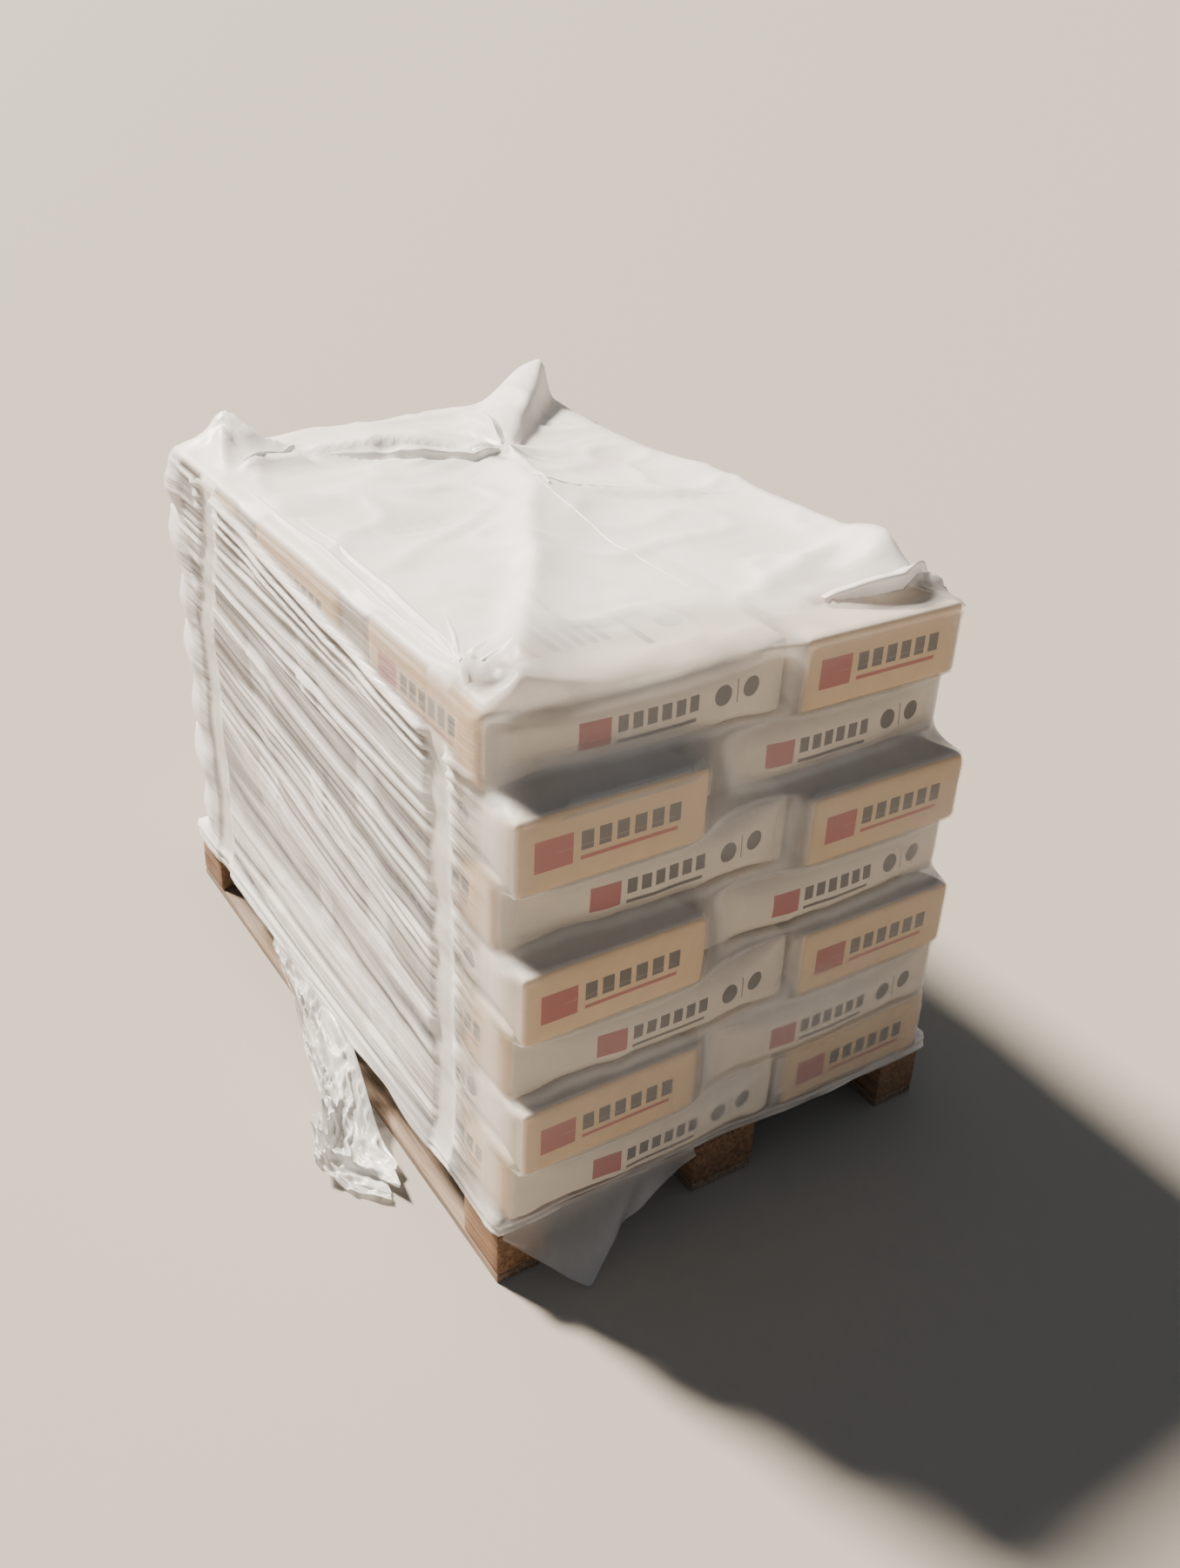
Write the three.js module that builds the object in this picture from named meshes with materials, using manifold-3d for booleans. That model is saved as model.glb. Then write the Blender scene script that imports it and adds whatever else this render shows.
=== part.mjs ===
// A loaded pallet: thirty-five filled paper sacks in seven interlocked layers on a wooden
// block pallet, under a stretch hood of clear film, with a tail of loose film at one side.
// Millimetres, +Z up. The origin is the middle of the pallet's footprint, on the floor.
// +Y runs along the pallet's length, and -X is the side that the loose film hangs from.

import * as THREE from "three";
import { mergeVertices } from "three/addons/utils/BufferGeometryUtils.js";
import Module from "manifold-3d";

// Driving dimensions of the pallet
const PALLET_LENGTH = 1200;
const PALLET_WIDTH = 800;
const BOARD = 16;
const BLOCK_HEIGHT = 78;
const BLOCK_LENGTH = 100;
const OUTER_BLOCK_WIDTH = 80;
const CENTRE_BLOCK_WIDTH = 115;
const DECK_BOARD_WIDTH = 120;
const DECK_BOARDS = 5;
const STRINGER_WIDTH = 100;

// Driving dimensions of the load
const LAYERS = 7;
const CROSSWISE_SACKS = 3;
const LENGTHWISE_SACKS = 2;
const SACK_HEIGHT = 108.6;
const SEAT_GAP = 0.4;
const CROSS_LENGTH = 462;
const ALONG_WIDTH = 292;
const COLUMN_GAP = 8;
const CROSS_GAP = 31;
const ALONG_GAP = 45;
const LOAD_LEFT = -391;
// From the deck up: the front and back of each layer's crosswise sacks, then of its lengthwise ones. The
// sacks below are squeezed out further by the load on them
const LAYER_ENDS = [
  [-630, 598, -620, 600],
  [-632, 598, -643, 606],
  [-630, 598, -628, 602],
  [-611, 596, -638, 606],
  [-604, 594, -612, 600],
  [-566, 588, -616, 598],
  [-563, 574, -560, 562],
];
const LEAN_FROM_LAYER = 4;
const LEAN_PER_LAYER = 2.5;
const LARGEST_SHIFT_X = 1.5;
const LARGEST_SHIFT_Y = 6;
const LARGEST_TURN_DEGREES = 0.15;
const SACK_CORNER_RADIUS = 28;
const GIRTH_FOOT = 0.3;
const GIRTH_HEAD = 0.7;

// Driving dimensions of the film
const FILM = 2;
const FILM_CLEARANCE = 0.6;
const DECK_CLEARANCE = 4.2;
const HEM_Z = 104;
const EAR_THICKNESS = 4;
const EAR_FOOT = 4.5;

const STRINGER_Z = BOARD + BLOCK_HEIGHT;
const DECK_Z = STRINGER_Z + BOARD;
const PALLET_HEIGHT = DECK_Z + BOARD;
const LAYER_PITCH = SACK_HEIGHT + SEAT_GAP;
const LOAD_Z = PALLET_HEIGHT + SEAT_GAP;
const LOAD_TOP = LOAD_Z + LAYERS * LAYER_PITCH - SEAT_GAP;

const weatheredPine = new THREE.MeshStandardMaterial({ color: 0x9c7b58, roughness: 0.9, metalness: 0 });
const blockWood = new THREE.MeshStandardMaterial({ color: 0x8a6444, roughness: 0.9, metalness: 0 });
const kraftPaper = new THREE.MeshStandardMaterial({ color: 0xd8c4a6, roughness: 0.8, metalness: 0 });
const hoodFilm = new THREE.MeshStandardMaterial({ color: 0xeeece8, roughness: 0.3, metalness: 0 });

const wasm = await Module();
wasm.setup();

// Joined and cut solids

function solidFrom(geometry) {
  const bare = geometry.clone();
  bare.deleteAttribute("normal");
  bare.deleteAttribute("uv");
  const merged = mergeVertices(bare, 1e-4);
  return new wasm.Manifold(
    new wasm.Mesh({
      numProp: 3,
      vertProperties: merged.attributes.position.array,
      triVerts: new Uint32Array(merged.index.array),
    }),
  );
}

function geometryFrom(solid) {
  const mesh = solid.getMesh();
  const geometry = new THREE.BufferGeometry();
  geometry.setAttribute("position", new THREE.BufferAttribute(mesh.vertProperties, 3));
  geometry.setIndex(new THREE.BufferAttribute(mesh.triVerts, 1));
  geometry.computeVertexNormals();
  return geometry;
}

// Lofts: every ring is a list of [x, y, z] points, anticlockwise seen from the end of the loft

function geometryOf(points, faces) {
  const geometry = new THREE.BufferGeometry();
  geometry.setAttribute("position", new THREE.Float32BufferAttribute(points.flat(), 3));
  geometry.setIndex(faces.flat());
  geometry.computeVertexNormals();
  return geometry;
}

function bandFaces(lower, upper, count) {
  const faces = [];
  for (let i = 0; i < count; i++) {
    const j = (i + 1) % count;
    faces.push([lower + i, lower + j, upper + j], [lower + i, upper + j, upper + i]);
  }
  return faces;
}

function middleOf(ring) {
  const sum = [0, 0, 0];
  for (const point of ring) {
    for (let axis = 0; axis < 3; axis++) sum[axis] += point[axis] / ring.length;
  }
  return sum;
}

function closedLoft(rings) {
  const count = rings[0].length;
  const last = (rings.length - 1) * count;
  const points = rings.flat();
  const bottom = points.push(middleOf(rings[0])) - 1;
  const top = points.push(middleOf(rings.at(-1))) - 1;
  const faces = [];
  for (let k = 1; k < rings.length; k++) faces.push(...bandFaces((k - 1) * count, k * count, count));
  for (let i = 0; i < count; i++) {
    const j = (i + 1) % count;
    faces.push([bottom, j, i], [top, last + i, last + j]);
  }
  return geometryOf(points, faces);
}

// A band between two taut rings whose every pair of triangles folds outwards, as stretched film does
function tautBand(points, lower, upper, count, side) {
  const at = (index) => new THREE.Vector3(...points[index]);
  const faces = [];
  for (let i = 0; i < count; i++) {
    const j = (i + 1) % count;
    const [a, b, c, d] = [lower + i, lower + j, upper + j, upper + i];
    const rising = at(c).sub(at(a));
    const falling = at(d).sub(at(b));
    const gap = at(a).add(at(c)).sub(at(b)).sub(at(d));
    const risingIsOutermost = side * rising.cross(falling).dot(gap) >= 0;
    faces.push(...(risingIsOutermost ? [[a, b, c], [a, c, d]] : [[a, b, d], [b, c, d]]));
  }
  return faces;
}

// A cap open at its foot: the outer rings climb to a middle point, and the inner rings come back down
function openShell(outer, inner, outerTop, innerTop) {
  const count = outer[0].length;
  const levels = outer.length;
  const points = [...outer.flat(), ...inner.flat(), outerTop, innerTop];
  const innerStart = levels * count;
  const outerTip = 2 * levels * count;
  const faces = [];
  for (let k = 1; k < levels; k++) {
    const innerLower = innerStart + (k - 1) * count;
    faces.push(...tautBand(points, (k - 1) * count, k * count, count, 1));
    faces.push(...tautBand(points, innerLower + count, innerLower, count, -1));
  }
  faces.push(...bandFaces(innerStart, 0, count));
  for (let i = 0; i < count; i++) {
    const j = (i + 1) % count;
    const high = (levels - 1) * count;
    const innerHigh = innerStart + high;
    faces.push([outerTip, high + i, high + j], [outerTip + 1, innerHigh + j, innerHigh + i]);
  }
  return geometryOf(points, faces);
}

// The pallet

function woodPiece(name, material, size, centre) {
  const mesh = new THREE.Mesh(new THREE.BoxGeometry(...size), material);
  mesh.name = name;
  mesh.position.set(...centre);
  return mesh;
}

function buildPallet() {
  const pallet = new THREE.Group();
  const blockRows = [
    ["front", -(PALLET_LENGTH - BLOCK_LENGTH) / 2],
    ["middle", 0],
    ["back", (PALLET_LENGTH - BLOCK_LENGTH) / 2],
  ];
  const blockColumns = [
    ["left", -(PALLET_WIDTH - OUTER_BLOCK_WIDTH) / 2, OUTER_BLOCK_WIDTH],
    ["centre", 0, CENTRE_BLOCK_WIDTH],
    ["right", (PALLET_WIDTH - OUTER_BLOCK_WIDTH) / 2, OUTER_BLOCK_WIDTH],
  ];
  for (const [side, x, width] of blockColumns) {
    const size = [width, PALLET_LENGTH, BOARD];
    pallet.add(woodPiece(`bottom_board_${side}`, weatheredPine, size, [x, 0, BOARD / 2]));
  }
  for (const [row, y] of blockRows) {
    for (const [side, x, width] of blockColumns) {
      const size = [width, BLOCK_LENGTH, BLOCK_HEIGHT];
      const centre = [x, y, BOARD + BLOCK_HEIGHT / 2];
      pallet.add(woodPiece(`block_${row}_${side}`, blockWood, size, centre));
    }
    const stringerY = Math.sign(y) * ((PALLET_LENGTH - STRINGER_WIDTH) / 2);
    const stringer = [PALLET_WIDTH, STRINGER_WIDTH, BOARD];
    const stringerCentre = [0, stringerY, STRINGER_Z + BOARD / 2];
    pallet.add(woodPiece(`stringer_board_${row}`, weatheredPine, stringer, stringerCentre));
  }
  const deckPitch = (PALLET_WIDTH - DECK_BOARD_WIDTH) / (DECK_BOARDS - 1);
  for (let i = 0; i < DECK_BOARDS; i++) {
    const x = (i - (DECK_BOARDS - 1) / 2) * deckPitch;
    const board = [DECK_BOARD_WIDTH, PALLET_LENGTH, BOARD];
    pallet.add(woodPiece(`deck_board_${i + 1}`, weatheredPine, board, [x, 0, DECK_Z + BOARD / 2]));
  }
  return pallet;
}

// The sacks

const CORNER_STEPS = 3;

// Support corners of a sack's plan: the centres of its four corner arcs, turned and placed
function cornerCentres(sack, sideInset, endInset) {
  const radius = SACK_CORNER_RADIUS;
  const halfX = sack.sizeX / 2 - radius - (sack.crosswise ? endInset : sideInset);
  const halfY = sack.sizeY / 2 - radius - (sack.crosswise ? sideInset : endInset);
  const cos = Math.cos(sack.turn);
  const sin = Math.sin(sack.turn);
  const signs = [
    [1, 1],
    [-1, 1],
    [-1, -1],
    [1, -1],
  ];
  return signs.map(([sx, sy]) => [
    sack.x + sx * halfX * cos - sy * halfY * sin,
    sack.y + sx * halfX * sin + sy * halfY * cos,
  ]);
}

function sackRing(sack, z, sideInset, endInset) {
  const ring = [];
  cornerCentres(sack, sideInset, endInset).forEach(([cx, cy], quadrant) => {
    for (let step = 0; step <= CORNER_STEPS; step++) {
      const angle = sack.turn + (quadrant + step / CORNER_STEPS) * (Math.PI / 2);
      ring.push([cx + SACK_CORNER_RADIUS * Math.cos(angle), cy + SACK_CORNER_RADIUS * Math.sin(angle), z]);
    }
  });
  return ring;
}

// Height up the sack, as a share, then how far its long sides and its ends are drawn in there
const SACK_PROFILE = [
  [0, 24, 10],
  [0.1, 9, 4],
  [GIRTH_FOOT, 0, 0],
  [GIRTH_HEAD, 0, 0],
  [0.9, 9, 4],
  [1, 24, 10],
];

function sackMesh(sack) {
  const ringAt = ([share, side, end]) => sackRing(sack, sack.z + share * SACK_HEIGHT, side, end);
  const rings = SACK_PROFILE.map(ringAt);
  const mesh = new THREE.Mesh(closedLoft(rings), kraftPaper);
  mesh.name = sack.name;
  return mesh;
}

// A small offset between -1 and 1 that differs from sack to sack and is the same each time
function unevenness(seed) {
  return Math.sin(seed * 12.9898) * Math.cos(seed * 4.1414);
}

// In odd layers, counted from the deck, the three crosswise sacks lie on the left
function layoutSacks() {
  const sacks = [];
  for (let layer = 1; layer <= LAYERS; layer++) {
    const crosswiseLeft = layer % 2 === 1;
    const left = LOAD_LEFT - LEAN_PER_LAYER * Math.max(0, layer - LEAN_FROM_LAYER);
    const z = LOAD_Z + (layer - 1) * LAYER_PITCH;
    const crossLeft = crosswiseLeft ? left : left + ALONG_WIDTH + COLUMN_GAP;
    const alongLeft = crosswiseLeft ? left + CROSS_LENGTH + COLUMN_GAP : left;
    const crossX = crossLeft + CROSS_LENGTH / 2;
    const alongX = alongLeft + ALONG_WIDTH / 2;
    const add = (kind, index, x, y, sizeX, sizeY) => {
      const seed = layer * 7 + index + (kind === "cross" ? 0 : 3.5);
      sacks.push({
        name: `sack_layer${layer}_${kind}_${index}`,
        layer,
        crosswise: kind === "cross",
        x: x + LARGEST_SHIFT_X * unevenness(seed),
        y: y + LARGEST_SHIFT_Y * unevenness(seed + 0.37),
        z,
        sizeX,
        sizeY,
        turn: THREE.MathUtils.degToRad(LARGEST_TURN_DEGREES * unevenness(seed + 0.71)),
      });
    };
    const [crossFront, crossBack, alongFront, alongBack] = LAYER_ENDS[layer - 1];
    const crossWidth = (crossBack - crossFront + CROSS_GAP) / CROSSWISE_SACKS - CROSS_GAP;
    for (let i = 0; i < CROSSWISE_SACKS; i++) {
      const y = crossFront + crossWidth / 2 + i * (crossWidth + CROSS_GAP);
      add("cross", i + 1, crossX, y, CROSS_LENGTH, crossWidth);
    }
    const alongLength = (alongBack - alongFront + ALONG_GAP) / LENGTHWISE_SACKS - ALONG_GAP;
    for (let i = 0; i < LENGTHWISE_SACKS; i++) {
      const y = alongFront + alongLength / 2 + i * (alongLength + ALONG_GAP);
      add("along", i + 1, alongX, y, ALONG_WIDTH, alongLength);
    }
  }
  return sacks;
}

// The stretch hood

// Degrees round each quarter at which the film's outline is found, closest where a side bends least
const QUARTER_DIRECTIONS = [0, 0.5, 4, 14, 30, 45, 60, 76, 86, 89.5];

// The taut outline round a set of corner centres: for each direction, the furthest centre plus a radius
function tautRing(centres, radius, z) {
  const ring = [];
  const directions = [0, 90, 180, 270].flatMap((start) => QUARTER_DIRECTIONS.map((step) => start + step));
  for (const direction of directions) {
    const angle = THREE.MathUtils.degToRad(direction);
    const dir = [Math.cos(angle), Math.sin(angle)];
    let best = centres[0];
    for (const centre of centres) {
      if (centre[0] * dir[0] + centre[1] * dir[1] > best[0] * dir[0] + best[1] * dir[1]) best = centre;
    }
    ring.push([best[0] + radius * dir[0], best[1] + radius * dir[1], z]);
  }
  return ring;
}

function boxCorners(points) {
  const xs = points.map((point) => point[0]);
  const ys = points.map((point) => point[1]);
  const [x0, x1, y0, y1] = [Math.min(...xs), Math.max(...xs), Math.min(...ys), Math.max(...ys)];
  return [
    [x1, y1],
    [x0, y1],
    [x0, y0],
    [x1, y0],
  ];
}

// The corners that the film is drawn over: those of the boxes round a layer's two columns of sacks
function layerCorners(sacks, layer, inset) {
  const column = (crosswise) =>
    sacks
      .filter((sack) => sack.layer === layer && sack.crosswise === crosswise)
      .flatMap((sack) => cornerCentres(sack, inset, inset));
  return [...boxCorners(column(true)), ...boxCorners(column(false))];
}

// Share of the top's half-size, and height over the sacks, of each ring that crosses the top
const TOP_RINGS = [
  [0.97, 6],
  [0.8, 8],
  [0.5, 5],
  [0.2, 10],
];
const TOP_MIDDLE_RISE = 14;

// How far the film is drawn in at the joint between two layers
const EDGE_INSET = 4;

function hoodRings(sacks, offset) {
  const radius = SACK_CORNER_RADIUS + FILM_CLEARANCE + offset;
  const hemRadius = DECK_CLEARANCE + offset;
  const deckEdge = [
    [-PALLET_WIDTH / 2, -PALLET_LENGTH / 2],
    [PALLET_WIDTH / 2, PALLET_LENGTH / 2],
  ];
  const hem = boxCorners(deckEdge);
  const overhang = [...hem, ...layerCorners(sacks, 1, -SACK_CORNER_RADIUS)];
  const rings = [tautRing(hem, hemRadius, HEM_Z), tautRing(overhang, hemRadius, PALLET_HEIGHT + 2)];
  for (let layer = 1; layer <= LAYERS; layer++) {
    const z = LOAD_Z + (layer - 1) * LAYER_PITCH;
    if (layer > 1) {
      const both = [layer - 1, layer].flatMap((level) => layerCorners(sacks, level, EDGE_INSET));
      rings.push(tautRing(both, radius, z));
    }
    for (const share of [GIRTH_FOOT, GIRTH_HEAD]) {
      rings.push(tautRing(layerCorners(sacks, layer, 0), radius, z + share * SACK_HEIGHT));
    }
  }
  const topCentres = layerCorners(sacks, LAYERS, EDGE_INSET);
  const brim = tautRing(topCentres, radius, LOAD_TOP);
  rings.push(brim);
  const [midX, midY] = middleOf(brim);
  for (const [share, rise] of TOP_RINGS) {
    const z = LOAD_TOP + rise - FILM + offset;
    rings.push(brim.map(([x, y]) => [midX + share * (x - midX), midY + share * (y - midY), z]));
  }
  return { rings, tip: [midX, midY, LOAD_TOP + TOP_MIDDLE_RISE - FILM + offset] };
}

// A flat fold of film: a thin plate on the points of its outline, which are [along, up] pairs
function filmFold(outline, thickness, turn, place) {
  const shape = new THREE.Shape(outline.map(([along, up]) => new THREE.Vector2(along, up)));
  const fold = new THREE.ExtrudeGeometry(shape, { depth: thickness, bevelEnabled: false });
  fold.translate(0, 0, -thickness / 2);
  fold.rotateX(Math.PI / 2);
  fold.rotateZ(turn);
  fold.translate(...place);
  return fold;
}

// Upstanding folds of the hood's top: outline, turn in radians, distances in from the load's edges
const EARS = [
  {
    outline: [
      [-75, EAR_FOOT],
      [75, EAR_FOOT],
      [60, 48],
      [-40, 62],
    ],
    turn: 0,
    fromLeft: 120,
    fromBack: 30,
  },
  {
    outline: [
      [-70, EAR_FOOT],
      [55, EAR_FOOT],
      [48, 40],
      [20, 78],
      [-30, 52],
    ],
    turn: -0.5,
    fromRight: 90,
    fromBack: 60,
  },
  {
    outline: [
      [-60, EAR_FOOT],
      [55, EAR_FOOT],
      [30, 42],
      [-20, 46],
    ],
    turn: 1.42,
    fromRight: 35,
    fromFront: 190,
  },
];

// The torn flap of the hem that hangs over the pallet's front left corner, as [x, z] points
const FLAP_THICKNESS = 2.6;
const FLAP_OUTLINE = [
  [-390, 124],
  [-60, 124],
  [-120, 84],
  [-205, 40],
  [-248, 12],
  [-268, 30],
  [-330, 72],
  [-378, 92],
];

function hoodFolds(brim) {
  const xs = brim.map((point) => point[0]);
  const ys = brim.map((point) => point[1]);
  const folds = EARS.map(({ outline, turn, fromLeft, fromRight, fromFront, fromBack }) => {
    const x = fromLeft === undefined ? Math.max(...xs) - fromRight : Math.min(...xs) + fromLeft;
    const y = fromFront === undefined ? Math.max(...ys) - fromBack : Math.min(...ys) + fromFront;
    return filmFold(outline, EAR_THICKNESS, turn, [x, y, LOAD_TOP]);
  });
  const flapY = -PALLET_LENGTH / 2 - DECK_CLEARANCE - FILM;
  return [...folds, filmFold(FLAP_OUTLINE, FLAP_THICKNESS, 0, [0, flapY, 0])];
}

function buildHood(sacks) {
  const outer = hoodRings(sacks, FILM);
  const inner = hoodRings(sacks, 0);
  let hood = solidFrom(openShell(outer.rings, inner.rings, outer.tip, inner.tip));
  const brim = outer.rings.at(-1 - TOP_RINGS.length);
  for (const fold of hoodFolds(brim)) hood = hood.add(solidFrom(fold));
  const mesh = new THREE.Mesh(geometryFrom(hood), hoodFilm);
  mesh.name = "stretch_hood";
  return mesh;
}

// The loose film at the left: its top edge is held between the deck's edge and the hood's hem

const TAIL_THICKNESS = 3;
const TAIL_STATIONS = 12;
const TAIL_BACK = 200;
const TAIL_FRONT = -360;
const TAIL_TOP_Z = 122;
const TAIL_HEM_Z = HEM_Z - 3;
const TAIL_REACH = 118;
const TAIL_HIGHEST_EDGE = 60;

// Below the hem, across the tail: how far out and how high each point lies, as shares
const TAIL_SECTION = [
  [0, 1],
  [0.5, 0.47],
  [1, 0],
];

// How fully the tail has come down, from 0 to 1, at a share of its length from the back
function tailFall(share) {
  const startShare = 0.12;
  const spread = 0.95;
  return Math.sqrt(Math.sin(Math.PI * Math.min(1, startShare + share * spread)));
}

// How far the tail's lower edge lies out on the floor, with a wave along it
function tailReach(share) {
  const wave = 0.15;
  const waveTurns = 9;
  return TAIL_REACH * tailFall(share) * (1 - wave + wave * Math.sin(waveTurns * share));
}

// The height of the tail's lower edge: it reaches the floor where the fall is nearly full
function tailFoot(share) {
  const lift = 1 - Math.min(1, 1.15 * tailFall(share));
  return TAIL_THICKNESS / 2 + TAIL_HIGHEST_EDGE * lift;
}

function buildTail() {
  const deckEdge = -PALLET_WIDTH / 2 - SEAT_GAP - TAIL_THICKNESS / 2;
  const rings = [];
  for (let i = 0; i <= TAIL_STATIONS; i++) {
    const share = i / TAIL_STATIONS;
    const y = TAIL_BACK + share * (TAIL_FRONT - TAIL_BACK);
    const [reach, foot] = [tailReach(share), tailFoot(share)];
    const pointAt = ([out, up]) => [deckEdge - reach * out, foot + up * (TAIL_HEM_Z - foot)];
    const hanging = TAIL_SECTION.map(pointAt);
    const spine = [[deckEdge, TAIL_TOP_Z], ...hanging];
    const across = spine.map((point, k) => {
      const before = spine[Math.max(0, k - 1)];
      const after = spine[Math.min(spine.length - 1, k + 1)];
      const run = [after[0] - before[0], after[1] - before[1]];
      const scale = TAIL_THICKNESS / 2 / Math.hypot(...run);
      return [-run[1] * scale, run[0] * scale];
    });
    const outside = spine.map(([x, z], k) => [x + across[k][0], y, Math.max(0, z + across[k][1])]);
    const inside = spine.map(([x, z], k) => [x - across[k][0], y, Math.max(0, z - across[k][1])]);
    rings.push([...inside, ...outside.reverse()]);
  }
  const mesh = new THREE.Mesh(closedLoft(rings), hoodFilm);
  mesh.name = "loose_film_tail";
  return mesh;
}

const loadedPallet = new THREE.Group();
const sacks = layoutSacks();
loadedPallet.add(buildPallet(), ...sacks.map(sackMesh), buildHood(sacks), buildTail());

export default loadedPallet;
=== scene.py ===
"""Looks of a pallet of paper sacks under a stretch hood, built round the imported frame.

Metres, +Z up. The frame's origin is the middle of the pallet's footprint on the floor, +Y runs along the
pallet and -X is the side that the loose film hangs from. Every new piece is a surface worked out with numpy:
sacks and boards are lofts of rounded rectangles, and the film is a stretched membrane that settles on the
sacks, found by letting each point sink towards the middle of its neighbours until it touches.
"""

from __future__ import annotations

import logging
import math
from dataclasses import dataclass, field
from enum import Enum

import bpy
import numpy as np
from mathutils import Matrix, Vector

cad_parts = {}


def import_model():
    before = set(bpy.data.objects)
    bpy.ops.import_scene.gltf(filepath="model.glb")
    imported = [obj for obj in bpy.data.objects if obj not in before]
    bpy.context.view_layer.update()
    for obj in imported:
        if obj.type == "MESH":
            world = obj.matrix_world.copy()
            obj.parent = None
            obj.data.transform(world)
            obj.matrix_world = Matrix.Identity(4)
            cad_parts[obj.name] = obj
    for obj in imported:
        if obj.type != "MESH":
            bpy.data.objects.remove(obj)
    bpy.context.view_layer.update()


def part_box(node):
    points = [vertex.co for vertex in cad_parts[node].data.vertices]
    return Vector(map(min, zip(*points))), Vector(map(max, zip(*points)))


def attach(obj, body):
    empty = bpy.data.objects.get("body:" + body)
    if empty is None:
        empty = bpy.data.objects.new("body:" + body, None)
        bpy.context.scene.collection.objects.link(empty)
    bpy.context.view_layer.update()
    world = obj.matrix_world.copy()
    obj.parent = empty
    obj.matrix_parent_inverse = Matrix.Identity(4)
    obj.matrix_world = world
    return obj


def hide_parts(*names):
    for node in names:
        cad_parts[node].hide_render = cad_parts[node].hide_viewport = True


log = logging.getLogger("pallet_of_sacks")

Array = np.ndarray
Material = bpy.types.Material
Tree = bpy.types.NodeTree
Socket = bpy.types.NodeSocket
Pair = tuple[float, float]
Triple = tuple[float, float, float]

MM = 0.001
PHOTO_HEIGHT = 1800
SENSOR_MM = 36.0


# Helpers for numbers


def placed(*axes: Array) -> Array:
    """Join coordinates along a new last axis, each spread to the shape that all of them share."""
    return np.stack(np.broadcast_arrays(*axes), axis=-1)


def lattice_value(cells: Array, seed: int) -> Array:
    """Give each whole-number cell a value from -1 to 1: the fraction of a large sine of its numbers."""
    keys = np.array([127.1, 311.7, 74.7])[: cells.shape[-1]]
    raw = np.sin(cells @ keys + seed * 19.19) * 43758.5453
    return 2.0 * (raw - np.floor(raw)) - 1.0


def smooth_noise(points: Array, seed: int) -> Array:
    """Blend lattice values between whole numbers by 3t^2 - 2t^3 along each axis.

    Args:
        points: Places, with one to three axes last, one lattice cell to a unit.
        seed: Picks one of many patterns.

    Returns:
        Noise from -1 to 1 at each place.
    """
    low = np.floor(points)
    part = points - low
    blend = part * part * (3.0 - 2.0 * part)
    total = np.zeros(points.shape[:-1])
    for corner in np.ndindex(*(2,) * points.shape[-1]):
        offset = np.array(corner, float)
        weight = np.prod(np.where(offset == 1.0, blend, 1.0 - blend), axis=-1)
        total += weight * lattice_value(low + offset, seed)
    return total


def noise_at(seed: int, *axes: Array) -> Array:
    """Return the smooth noise at places given by their separate coordinates."""
    return smooth_noise(placed(*axes), seed)


def layered_noise(points: Array, seed: int) -> Array:
    """Add three noises, each twice as fine and half as high as the one before."""
    return sum(smooth_noise(points * 2.0**layer, seed + 31 * layer) * 0.5**layer for layer in range(3))


def creases(points: Array, seed: int, sharpness: float = 1.0) -> Array:
    """Give sharp crests, 1 high: one less the noise's size, to a power."""
    return (1.0 - np.abs(smooth_noise(points, seed))) ** sharpness


def bell(reach: Array) -> Array:
    """Give 1 at 0 and fall off to both sides as a bell curve."""
    return np.exp(-(reach**2))


def ramp(values: Array, low: float, high: float) -> Array:
    """Rise from 0 at low to 1 at high by 3t^2 - 2t^3, and stay there beyond both."""
    share = np.clip((values - low) / (high - low), 0.0, 1.0)
    return share * share * (3.0 - 2.0 * share)


def band_share(values: Array, band: Pair, soft: float) -> Array:
    """Give 1 inside a band and 0 outside, with soft edges."""
    return ramp(values, band[0] - soft, band[0]) * (1.0 - ramp(values, band[1], band[1] + soft))


def linear_colour(hex_colour: str) -> tuple[float, float, float, float]:
    """Turn an sRGB hex colour, six digits after a #, into linear red, green, blue and an alpha of 1."""
    parts = [int(hex_colour[i : i + 2], 16) / 255.0 for i in (1, 3, 5)]
    return (*(p / 12.92 if p <= 0.04045 else ((p + 0.055) / 1.055) ** 2.4 for p in parts), 1.0)


# Helpers for meshes and the scene


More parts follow.
